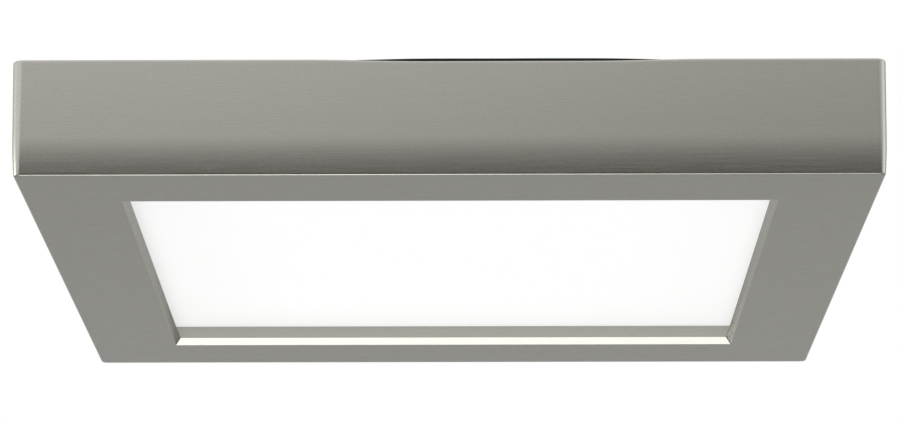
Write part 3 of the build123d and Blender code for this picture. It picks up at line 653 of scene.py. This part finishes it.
def cast_metal(sizes):
    """The casting's inside: grainy grey metal with cloudy flow marks."""
    finish = Finish("cast_metal")
    metal = sizes.cast_metal
    grain = finish.noise(finish.place(), scale=1500, detail=4, roughness=0.7)
    flow = finish.noise(finish.place(), scale=45, detail=4, roughness=0.6)
    tone = finish.mix(finish.ramp(flow, 0.3, 0.7), shade(metal, 0.85), shade(metal, 1.1))
    tone = finish.mix(finish.ramp(grain, 0.4, 0.75, 0, 0.4), tone, shade(metal, 0.7))
    rough = finish.ramp(grain, 0.2, 0.8, 0.42, 0.6)
    normal = finish.relief(grain, depth=1.2e-5, strength=0.7)
    return finish.surface(Base_Color=tone, Metallic=1.0, Roughness=rough, Normal=normal)


class CEILING_LIGHT_OT_housing(bpy.types.Operator):
    """Make the cast square housing with its brushed faces, window and screw posts"""

    bl_idname = "ceiling_light.housing"
    bl_label = "Housing"

    def execute(self, context):
        sizes = context.scene.ceiling_light_housing
        low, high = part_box("housing")
        rim, underside = high[2], low[2]
        outline, cut, raw = housing_outline(sizes, rim, underside)
        points, normals = housing_grid(sizes, context.scene.ceiling_light_foam, outline, rim, underside)
        rows, columns = points.shape[:2]
        faces = grid_faces(rows, columns, close_rows=True)
        shell = {
            "points": points.reshape(-1, 3),
            "faces": faces.tolist(),
            "normals": normals.reshape(-1, 3),
            "brush": brush_map(outline, points, normals, faces),
            "cut": np.repeat(cut, columns),
            "material": np.repeat(raw, columns).astype(int),
        }
        faces, arrays = join_parts([shell, *self.posts(sizes, underside)])
        piece = make_piece(
            "housing_shell",
            arrays["points"],
            faces,
            normals=arrays["normals"],
            brush=arrays["brush"],
            attributes={"cut": arrays["cut"]},
            material_index=arrays["material"],
        )
        piece.data.materials.append(nickel(sizes).material)
        piece.data.materials.append(cast_metal(sizes).material)
        stand_for(piece, ["housing"], "fixture")
        return {"FINISHED"}

    @staticmethod
    def posts(sizes, underside):
        """The four screw posts, from just inside the floor up to the back plate, in the casting's metal."""
        place = sizes.side / 2 - sizes.wall - sizes.boss_inset
        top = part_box("back_plate")[0][2]
        foot = underside + sizes.floor - sizes.boss_edge
        for corner in ((1, 1), (-1, 1), (-1, -1), (1, -1)):
            points, faces = corner_post(sizes, (corner[0] * place, corner[1] * place), top, foot)
            yield {
                "points": points,
                "faces": faces,
                # A normal of zero leaves the mesh's own.
                "normals": np.zeros_like(points),
                "brush": np.zeros((sum(len(face) for face in faces), 2)),
                "cut": np.zeros(len(points)),
                "material": np.ones(len(faces), int),
            }


# ------------------------------------------------------------------ foam
class CEILING_LIGHT_OT_gasket(bpy.types.Operator):
    """Make the foam gasket, which stands highest along the middle of each side"""

    bl_idname = "ceiling_light.gasket"
    bl_label = "Ceiling gasket"

    def execute(self, context):
        sizes = context.scene.ceiling_light_foam
        low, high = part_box("ceiling_gasket")
        half = high[0]
        corners = [(0, high[2]), (0, low[2]), (sizes.gasket_width, low[2]), (sizes.gasket_width, high[2])]
        outline = round_corners(corners, [sizes.gasket_round] * 4, 6).reshape(-1, 2)
        radii = np.maximum(sizes.gasket_corner - outline[:, 0], sizes.gasket_inner)
        ring = square_ring(corner_steps=6, side_steps=48)
        points = carry_round(ring, half - outline[:, 0], radii, outline[:, 1])
        # The foam sags on both sides of its highest stretch; a slow wave keeps it from looking ruled.
        sag = sizes.gasket_press + sizes.gasket_sag * (1 - near_middle(points, sizes))
        waves_across, waves_along = 310, 230
        wave = np.sin(points[..., 0] * waves_across + points[..., 1] * waves_along)
        sag = sag + sizes.gasket_wave * (1 + wave)
        share = (points[..., 2] - low[2]) / (high[2] - low[2])
        points[..., 2] -= sag * share
        rows, columns = points.shape[:2]
        piece = make_piece("gasket_foam", points, grid_faces(rows, columns, close_rows=True))
        piece.data.materials.append(foam("black_foam", sizes.black, cell_scale=1900).material)
        stand_for(piece, ["ceiling_gasket"], "fixture")
        return {"FINISHED"}


class CEILING_LIGHT_OT_pads(bpy.types.Operator):
    """Make the four foam pads that press the light guide down"""

    bl_idname = "ceiling_light.pads"
    bl_label = "Pressure pads"

    def execute(self, context):
        sizes = context.scene.ceiling_light_foam
        low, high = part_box("pressure_pads")
        bar, bar_faces = self.bar(sizes, low[2], high[2])
        pads = []
        for quarter in range(4):
            turn = quarter * np.pi / 2
            turned = bar.copy()
            turned[:, 0] = bar[:, 0] * np.cos(turn) - bar[:, 1] * np.sin(turn)
            turned[:, 1] = bar[:, 0] * np.sin(turn) + bar[:, 1] * np.cos(turn)
            pads.append({"points": turned, "faces": bar_faces})
        faces, arrays = join_parts(pads)
        piece = make_piece("pressure_pad_foam", arrays["points"], faces)
        piece.data.materials.append(foam("grey_foam", sizes.grey, cell_scale=1300).material)
        stand_for(piece, ["pressure_pads"], "fixture")
        return {"FINISHED"}

    @staticmethod
    def bar(sizes, bottom, top):
        """A pressed bar along X: stacked rounded rectangles, which bulge by half a sine wave over the height.

        The first and the last row lie inside the sides, where the flat faces end.
        """
        levels, corner_steps = 9, 5
        level = np.linspace(0, 1, levels)
        swell = sizes.pad_bulge * (np.sin(level * np.pi) - 1)
        rows = []
        for inset, share in [(sizes.pad_edge, 0.0), *zip(-swell, level), (sizes.pad_edge, 1.0)]:
            x = sizes.pad_length / 2 - inset
            y = sizes.pad_width / 2 - inset
            corners = [(x, -y), (x, y), (-x, y), (-x, -y)]
            flat = round_corners(corners, [sizes.pad_corner] * 4, corner_steps).reshape(-1, 2)
            height = np.full((len(flat), 1), bottom + (top - bottom) * share)
            rows.append(np.concatenate([flat, height], axis=1))
        grid = np.stack(rows)
        grid[..., 1] -= sizes.pad_line
        columns = grid.shape[1]
        faces = grid_faces(len(rows), columns, close_rows=False)[:, ::-1].tolist()
        last = len(rows) * columns
        faces += [list(range(columns - 1, -1, -1)), list(range(last - columns, last))]
        return grid.reshape(-1, 3), faces


# ------------------------------------------------------------------ light engine
def opal(sizes):
    """Lit opal sheet: white that glows a little less toward its edges, with a faint satin surface."""
    finish = Finish("opal_acrylic")
    separate = finish.node("ShaderNodeSeparateXYZ", Vector=finish.place())
    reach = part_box("diffuser")[1][0]
    across = finish.math("DIVIDE", finish.math("ABSOLUTE", separate.outputs["X"]), reach)
    along = finish.math("DIVIDE", finish.math("ABSOLUTE", separate.outputs["Y"]), reach)
    out = finish.math("MAXIMUM", across, along)
    corner = finish.math("MULTIPLY", across, along)
    fall = finish.math("ADD", finish.ramp(out, 0.55, 0.95, 0, 0.5), finish.ramp(corner, 0.3, 0.9, 0, 0.5))
    glow = finish.mix(fall, (1, 1, 1), (sizes.rim_glow,) * 3)
    satin = finish.noise(finish.place(), scale=3500, detail=2)
    tone = finish.mix(satin, shade(sizes.opal, 0.985), tuple(sizes.opal))
    normal = finish.relief(satin, depth=1.5e-6, strength=0.5)
    rough = finish.ramp(satin, 0.2, 0.8, 0.4, 0.48)
    finish.surface(Base_Color=tone, Roughness=rough, Normal=normal, Emission_Color=glow)
    return finish.surface(Emission_Strength=sizes.glow)


def clear_sheet():
    """Clear acrylic with the fine engraved dots that let the light out."""
    finish = Finish("clear_acrylic")
    dots = finish.ramp(finish.cells(finish.place((1, 1, 0)), scale=900), 0.18, 0.24, 1, 0)
    tone = finish.mix(dots, (0.94, 0.97, 0.965), (0.98, 0.98, 0.98))
    rough = finish.ramp(dots, 0, 1, 0.04, 0.5)
    normal = finish.relief(dots, depth=2e-5, strength=0.6)
    return finish.surface(Base_Color=tone, Roughness=rough, Normal=normal, Transmission_Weight=1.0, IOR=1.49)


def white_sheet():
    """Matt white reflector film with a faint mottle."""
    finish = Finish("white_film")
    mottle = finish.noise(finish.place(), scale=500, detail=4, roughness=0.6)
    tone = finish.mix(finish.ramp(mottle, 0.3, 0.7), (0.86, 0.865, 0.87), (0.93, 0.93, 0.93))
    rough = finish.ramp(mottle, 0.3, 0.7, 0.55, 0.7)
    normal = finish.relief(mottle, depth=4e-6, strength=0.4)
    return finish.surface(Base_Color=tone, Roughness=rough, Normal=normal)


class CEILING_LIGHT_OT_panel(bpy.types.Operator):
    """Finish the diffuser, light guide and reflector"""

    bl_idname = "ceiling_light.panel"
    bl_label = "Lit panel"

    def execute(self, context):
        dress(["diffuser"], opal(context.scene.ceiling_light_panel))
        dress(["light_guide"], clear_sheet())
        dress(["reflector"], white_sheet())
        return {"FINISHED"}


def lamp_face():
    """Yellow phosphor resin, mottled by its grains."""
    finish = Finish("lamp_phosphor")
    grains = finish.noise(finish.place(), scale=9000, detail=2)
    tone = finish.mix(finish.ramp(grains, 0.35, 0.65), (0.82, 0.62, 0.09), (0.93, 0.8, 0.22))
    normal = finish.relief(grains, depth=5e-6, strength=0.5)
    finish.surface(Base_Color=tone, Roughness=finish.ramp(grains, 0.3, 0.7, 0.25, 0.4), Normal=normal)
    return finish.surface(Emission_Color=tone, Emission_Strength=0.4)


def strip_mask():
    """White solder mask over copper tracks that show as a low relief."""
    finish = Finish("strip_mask")
    tracks = finish.ramp(finish.noise(finish.place((1, 1, 9)), scale=140, detail=1), 0.47, 0.53)
    grain = finish.noise(finish.place(), scale=1800, detail=2)
    tone = finish.mix(tracks, (0.84, 0.84, 0.82), (0.9, 0.9, 0.89))
    tone = finish.mix(finish.ramp(grain, 0.5, 0.8, 0, 0.3), tone, (0.78, 0.78, 0.76))
    normal = finish.relief(tracks, depth=3e-5, strength=0.6)
    return finish.surface(Base_Color=tone, Roughness=finish.ramp(grain, 0.3, 0.7, 0.3, 0.42), Normal=normal)


SIDES = ("front", "right", "back", "left")


class CEILING_LIGHT_OT_lamp_strips(bpy.types.Operator):
    """Finish the rails, lamp strips, lamps and jumper wires"""

    bl_idname = "ceiling_light.lamp_strips"
    bl_label = "Lamp strips"

    def execute(self, context):
        along_x, along_y = (1, 30, 30), (30, 1, 30)
        for side, stretch in zip(SIDES, (along_x, along_y, along_x, along_y)):
            rail = brushed_metal(f"rail_{side}", (0.6, 0.6, 0.61), roughness=0.34, stretch=stretch, scale=90)
            dress([f"rail_{side}"], rail)
        dress([f"led_strip_{side}" for side in SIDES], strip_mask())
        dress(["led_packages"], lamp_face())
        wire = moulded_plastic("white_wire", (0.8, 0.8, 0.78), roughness=0.35, grain=5000, depth=2e-6)
        dress(["strip_jumpers"], wire)
        return {"FINISHED"}


# ------------------------------------------------------------------ back of the light
def zinc(name, tint, roughness):
    """Zinc plating: bright, a little blue, with a fine crystal mottle."""
    finish = Finish(name)
    crystals = finish.cells(finish.place(), scale=900)
    haze = finish.noise(finish.place(), scale=120, detail=4, roughness=0.6)
    tone = finish.mix(finish.ramp(crystals, 0.1, 0.8), shade(tint, 0.92), shade(tint, 1.06))
    tone = finish.mix(finish.ramp(haze, 0.4, 0.7, 0, 0.35), tone, shade(tint, 0.75))
    rough = finish.math("ADD", finish.ramp(haze, 0.3, 0.7, -0.05, 0.12), roughness)
    normal = finish.relief(crystals, depth=3e-6, strength=0.5, over=finish.soft_edges(SHEET_EDGE))
    return finish.surface(Base_Color=tone, Metallic=1.0, Roughness=rough, Normal=normal)


class CEILING_LIGHT_OT_back_plate(bpy.types.Operator):
    """Finish the back plate and its screws"""

    bl_idname = "ceiling_light.back_plate"
    bl_label = "Back plate"

    def execute(self, context):
        sheet, along_x = (0.58, 0.585, 0.59), (1, 26, 26)
        plate = brushed_metal("plate_aluminium", sheet, 0.36, stretch=along_x, scale=55, contrast=0.07)
        earth = zinc("earth_green", (0.05, 0.3, 0.1), roughness=0.3)
        dress(["back_plate"], plate)
        dress(["back_plate_screws"], zinc("zinc_screws", (0.55, 0.57, 0.6), roughness=0.26))
        dress(["plate_ground_screw", "bracket_ground_screw"], earth)
        return {"FINISHED"}


class CEILING_LIGHT_OT_driver_case(bpy.types.Operator):
    """Finish the power supply's tray, cover, bushing and screws"""

    bl_idname = "ceiling_light.driver_case"
    bl_label = "Driver case"

    def execute(self, context):
        case = moulded_plastic("driver_plastic", (0.72, 0.72, 0.7), roughness=0.5)
        bushing = moulded_plastic("bushing_nylon", (0.02, 0.02, 0.022), roughness=0.42)
        dress(["driver_base", "driver_cover"], case)
        dress(["supply_bushing"], bushing)
        dress(["driver_screws"], zinc("driver_screw_zinc", (0.55, 0.57, 0.6), roughness=0.28))
        return {"FINISHED"}


def laminate():
    """Green circuit board: mask over square-cornered tracks, with the weave faint below."""
    finish = Finish("board_laminate")
    tracks = finish.node("ShaderNodeTexBrick", Vector=finish.place((1, 1, 0)), Scale=260.0, Mortar_Size=0.06)
    weave = finish.noise(finish.place((1, 1, 0.2)), scale=2600, detail=2)
    tone = finish.mix(tracks.outputs["Fac"], (0.012, 0.11, 0.035), (0.03, 0.2, 0.06))
    tone = finish.mix(finish.ramp(weave, 0.4, 0.7, 0, 0.3), tone, (0.01, 0.08, 0.03))
    normal = finish.relief(tracks.outputs["Fac"], depth=2e-5, strength=0.5)
    return finish.surface(Base_Color=tone, Roughness=finish.ramp(weave, 0.3, 0.7, 0.28, 0.4), Normal=normal)


def wound_tape():
    """Yellow polyester tape, wound in layers that show as lines round the coil."""
    finish = Finish("winding_tape")
    layers = finish.noise(finish.place((0.2, 0.2, 6)), scale=900, detail=2)
    tone = finish.mix(finish.ramp(layers, 0.3, 0.7), (0.72, 0.5, 0.03), (0.85, 0.64, 0.07))
    rough = finish.ramp(layers, 0.3, 0.7, 0.2, 0.35)
    normal = finish.relief(layers, depth=1e-5, strength=0.6)
    return finish.surface(Base_Color=tone, Roughness=rough, Normal=normal)


class CEILING_LIGHT_OT_driver_parts(bpy.types.Operator):
    """Finish the board and what it carries"""

    bl_idname = "ceiling_light.driver_parts"
    bl_label = "Driver parts"

    def execute(self, context):
        ferrite = moulded_plastic("ferrite", (0.06, 0.06, 0.066), roughness=0.6, grain=1400, depth=1e-5)
        black = (0.02, 0.02, 0.03)
        sleeve = moulded_plastic("capacitor_sleeve", black, roughness=0.25, grain=900, depth=1e-6)
        epoxy = moulded_plastic("film_epoxy", (0.3, 0.06, 0.03), roughness=0.3, grain=700, depth=6e-6)
        resin = moulded_plastic("chip_resin", (0.02, 0.02, 0.021), roughness=0.55, grain=3600, depth=3e-6)
        terminal = moulded_plastic("terminal_nylon", (0.75, 0.75, 0.7), roughness=0.45)
        dress(["driver_board"], laminate())
        dress(["transformer_winding"], wound_tape())
        dress(["transformer_core", "driver_choke"], ferrite)
        dress(["driver_capacitors"], sleeve)
        dress(["driver_film_capacitor"], epoxy)
        dress(["driver_chips"], resin)
        dress(["driver_terminal"], terminal)
        return {"FINISHED"}


class CEILING_LIGHT_OT_leads(bpy.types.Operator):
    """Finish the two output leads and the grommet"""

    bl_idname = "ceiling_light.leads"
    bl_label = "Output leads"

    def execute(self, context):
        red = moulded_plastic("red_lead", (0.5, 0.015, 0.012), roughness=0.32, grain=3000, depth=2e-6)
        black = moulded_plastic("black_lead", (0.014, 0.014, 0.015), roughness=0.32, grain=3000, depth=2e-6)
        rubber = moulded_plastic("black_rubber", (0.02, 0.02, 0.02), roughness=0.6, grain=1800, depth=8e-6)
        dress(["lead_red"], red)
        dress(["lead_black"], black)
        dress(["lead_grommet"], rubber)
        return {"FINISHED"}


class CEILING_LIGHT_OT_colour_switch(bpy.types.Operator):
    """Finish the slide switch for the colour of the light"""

    bl_idname = "ceiling_light.colour_switch"
    bl_label = "Colour switch"

    def execute(self, context):
        black = moulded_plastic("black_nylon", (0.018, 0.018, 0.02), roughness=0.48)
        white = moulded_plastic("selector_nylon", (0.8, 0.8, 0.78), roughness=0.42)
        dress(["cct_switch_base", "cct_switch_cover"], black)
        dress(["cct_selector"], white)
        return {"FINISHED"}


class CEILING_LIGHT_OT_bracket(bpy.types.Operator):
    """Finish the mounting bracket"""

    bl_idname = "ceiling_light.bracket"
    bl_label = "Mounting bracket"

    def execute(self, context):
        dress(["mounting_bracket"], zinc("zinc_steel", (0.5, 0.52, 0.54), roughness=0.34))
        return {"FINISHED"}


class CEILING_LIGHT_OT_clips(bpy.types.Operator):
    """Finish the spring clips and their rivets"""

    bl_idname = "ceiling_light.clips"
    bl_label = "Spring clips"

    def execute(self, context):
        steel, along_y = (0.46, 0.46, 0.47), (26, 1, 26)
        strip = brushed_metal("spring_steel", steel, roughness=0.24, stretch=along_y, scale=120)
        dress(["spring_clip_left", "spring_clip_right"], strip)
        dress(["clip_rivets"], zinc("rivet_zinc", (0.56, 0.57, 0.58), roughness=0.24))
        return {"FINISHED"}


# ------------------------------------------------------------------ stage
# Each lamp: azimuth, elevation and distance from the light, width and height, brightness where 1 is
# white, and tint. Azimuth 0 is the viewer's side, and it grows to the right.
LAMPS = {
    "front_lamp": ((-33, 39.5, 3.0), (4.2, 3.6), 0.3, (0.98, 0.985, 1)),
    "left_lamp": ((-93, -4, 2.6), (2.2, 1.2), 3.3, (0.99, 0.97, 1)),
    "right_lamp": ((88, 3, 2.6), (1.6, 1.4), 0.75, (1, 0.98, 0.95)),
    "low_lamp": ((-22, -81, 2.2), (0.35, 0.9), 3.0, (1, 1, 1)),
    "strip_lamp": ((0, -61, 2.2), (2.4, 0.5), 2.3, (1, 1, 1)),
}
# The dark card that the roll at the foot of the front side mirrors: place, size and colour.
CARD = ((15, -11.0, 2.6), (4.0, 2.25), (0.12, 0.11, 0.09))
PALE = (0.8, 0.8, 0.79)
AIM = Vector((0, 0, -0.012))
SENSOR_WIDTH = 36
FLOOR_HALF = 60.0
BACKDROP_HALF = 12.0
BACKDROP_HEIGHT = 5.0
BACKDROP_DISTANCE = 6.0
FLOOR_WHITE = 0.6        # share of plain white in what the camera sees of the floor
MIRRORED_WHITE = 0.22    # share of plain white in what metal mirrors of the backdrop


def stage_place(azimuth, elevation, distance):
    """A point on a sphere about the light, by azimuth and elevation in degrees."""
    turn, rise = math.radians(azimuth), math.radians(elevation)
    direction = Vector((math.sin(turn) * math.cos(rise), -math.cos(turn) * math.cos(rise), math.sin(rise)))
    return AIM + distance * direction


def make_world(ambient):
    """A white background for the camera and for reflections, over an even light for everything else."""
    world = bpy.data.worlds.new("studio")
    world.use_nodes = True
    nodes = Nodes(world.node_tree)
    seen = nodes.node("ShaderNodeBackground", Color=WHITE, Strength=1.0)
    even = nodes.node("ShaderNodeBackground", Color=WHITE, Strength=ambient)
    share = nodes.rays("Is Camera Ray", "Is Glossy Ray", "Is Transmission Ray")
    nodes.node("ShaderNodeOutputWorld", Surface=nodes.mix_shaders(share, even, seen))
    bpy.context.scene.world = world


def stage_sheet(name, corner, across, up, tint):
    """A flat sheet, the corner plus u times one edge vector and v times the other, and its matt finish."""
    cells = 8
    first, second = np.meshgrid(np.linspace(0, 1, cells + 1), np.linspace(0, 1, cells + 1))
    points = np.asarray(corner) + first[..., None] * np.asarray(across) + second[..., None] * np.asarray(up)
    index = np.arange((cells + 1) ** 2).reshape(cells + 1, cells + 1)
    faces = np.stack([index[:-1, :-1], index[:-1, 1:], index[1:, 1:], index[1:, :-1]], axis=2).reshape(-1, 4)
    sheet = make_piece(name, points, faces)
    finish = Finish(name)
    mottle = finish.noise(finish.place(), scale=3, detail=3)
    tone = finish.mix(mottle, shade(tint, 0.98), shade(tint, 1.02))
    finish.surface(Base_Color=tone, Roughness=0.9, Specular_IOR_Level=0.0)
    sheet.data.materials.append(finish.material)
    return sheet, finish


def whiten(finish, share):
    """Mix plain white into a stage finish, by a share that a node puts out."""
    white = finish.node("ShaderNodeEmission", Color=WHITE, Strength=1.0)
    finish.put(finish.output, {"Surface": finish.mix_shaders(share, finish.shader, white)})


class CEILING_LIGHT_OT_stage(bpy.types.Operator):
    """Set up the camera, floor, backdrop, lamps and world"""

    bl_idname = "ceiling_light.stage"
    bl_label = "Stage"

    def execute(self, context):
        settings = context.scene.ceiling_light_stage
        context.scene.view_settings.view_transform = "Standard"
        make_world(settings.ambient)
        self.floor(settings.floor_level)
        self.backdrop(settings.floor_level)
        self.card()
        for name, lamp in LAMPS.items():
            self.lamp(context, name, *lamp)
        self.camera(context, settings)
        return {"FINISHED"}

    @staticmethod
    def floor(level):
        """A pale floor that the camera sees nearly white, with the shadow on it."""
        whole = 2 * FLOOR_HALF
        finish = stage_sheet(
            "stage_floor", (-FLOOR_HALF, -FLOOR_HALF, level), (whole, 0, 0), (0, whole, 0), PALE
        )[1]
        whiten(finish, finish.math("MULTIPLY", finish.rays("Is Camera Ray"), FLOOR_WHITE))

    @staticmethod
    def backdrop(level):
        """A pale backdrop that is white to the camera and through glass, and that metal mirrors dimmer."""
        corner = (BACKDROP_HALF, BACKDROP_DISTANCE, level)
        across, up = (-2 * BACKDROP_HALF, 0, 0), (0, 0, BACKDROP_HEIGHT)
        finish = stage_sheet("stage_backdrop", corner, across, up, PALE)[1]
        mirrored = finish.math("MULTIPLY", finish.rays("Is Glossy Ray"), MIRRORED_WHITE)
        whiten(finish, finish.math("MAXIMUM", finish.rays("Is Camera Ray", "Is Transmission Ray"), mirrored))

    @staticmethod
    def card():
        """The dark card, upright to the line from its middle to the light and out of the camera's sight."""
        (azimuth, elevation, distance), (width, height), tint = CARD
        middle = stage_place(azimuth, elevation, distance)
        turn = math.radians(azimuth)
        level_line = Vector((math.cos(turn), math.sin(turn), 0))
        across = level_line * width
        up = level_line.cross(AIM - middle).normalized() * height
        card = stage_sheet("stage_card", middle - across / 2 - up / 2, across, up, tint)[0]
        card.visible_camera = False

    @staticmethod
    def lamp(context, name, place, size, brightness, tint):
        """A soft lamp, aimed at the light. Its power is its brightness times pi times its area."""
        light = bpy.data.lights.new(name, "AREA")
        light.shape = "RECTANGLE"
        light.size, light.size_y = size
        light.energy = brightness * math.pi * size[0] * size[1]
        light.color = tint
        lamp = bpy.data.objects.new(name, light)
        lamp.location = stage_place(*place)
        lamp.rotation_euler = (AIM - lamp.location).to_track_quat("-Z", "Y").to_euler()
        lamp.visible_camera = False
        context.scene.collection.objects.link(lamp)

    @staticmethod
    def camera(context, settings):
        """The camera, turned by yaw, pitch and roll from a level look along +Y."""
        camera = bpy.data.objects.new("camera", bpy.data.cameras.new("camera"))
        camera.data.lens = settings.lens
        camera.data.sensor_width = SENSOR_WIDTH
        camera.location = settings.camera_place
        level = math.cos(settings.pitch)
        ahead = (math.sin(settings.yaw) * level, math.cos(settings.yaw) * level, math.sin(settings.pitch))
        aimed = Vector(ahead).to_track_quat("-Z", "Y") @ Quaternion((0, 0, 1), settings.roll)
        camera.rotation_euler = aimed.to_euler()
        context.scene.collection.objects.link(camera)
        context.scene.camera = camera


# ------------------------------------------------------------------ panel and registration
OPERATORS = (
    CEILING_LIGHT_OT_stage,
    CEILING_LIGHT_OT_housing,
    CEILING_LIGHT_OT_gasket,
    CEILING_LIGHT_OT_pads,
    CEILING_LIGHT_OT_panel,
    CEILING_LIGHT_OT_lamp_strips,
    CEILING_LIGHT_OT_back_plate,
    CEILING_LIGHT_OT_driver_case,
    CEILING_LIGHT_OT_driver_parts,
    CEILING_LIGHT_OT_leads,
    CEILING_LIGHT_OT_colour_switch,
    CEILING_LIGHT_OT_bracket,
    CEILING_LIGHT_OT_clips,
)

SETTINGS = {
    "ceiling_light_housing": HousingSettings,
    "ceiling_light_foam": FoamSettings,
    "ceiling_light_panel": PanelSettings,
    "ceiling_light_stage": StageSettings,
}


class CEILING_LIGHT_PT_sidebar(bpy.types.Panel):
    """Settings and pieces of the ceiling light"""

    bl_idname = "CEILING_LIGHT_PT_sidebar"
    bl_label = "Ceiling Light"
    bl_space_type = "VIEW_3D"
    bl_region_type = "UI"
    bl_category = "Ceiling Light"

    def draw(self, context):
        for name, group in SETTINGS.items():
            box = self.layout.box()
            box.label(text=group.__doc__)
            for setting in group.__annotations__:
                box.prop(getattr(context.scene, name), setting)
        for operator in OPERATORS:
            self.layout.operator(operator.bl_idname)


def register():
    for group in SETTINGS.values():
        bpy.utils.register_class(group)
    for name, group in SETTINGS.items():
        setattr(bpy.types.Scene, name, bpy.props.PointerProperty(type=group))
    for operator in OPERATORS:
        bpy.utils.register_class(operator)
    bpy.utils.register_class(CEILING_LIGHT_PT_sidebar)


def unregister():
    bpy.utils.unregister_class(CEILING_LIGHT_PT_sidebar)
    for operator in reversed(OPERATORS):
        bpy.utils.unregister_class(operator)
    for name in SETTINGS:
        delattr(bpy.types.Scene, name)
    for group in SETTINGS.values():
        bpy.utils.unregister_class(group)


def main():
    register()
    for operator in OPERATORS:
        group, name = operator.bl_idname.split(".")
        getattr(getattr(bpy.ops, group), name)()


if __name__ == "__main__":
    main()
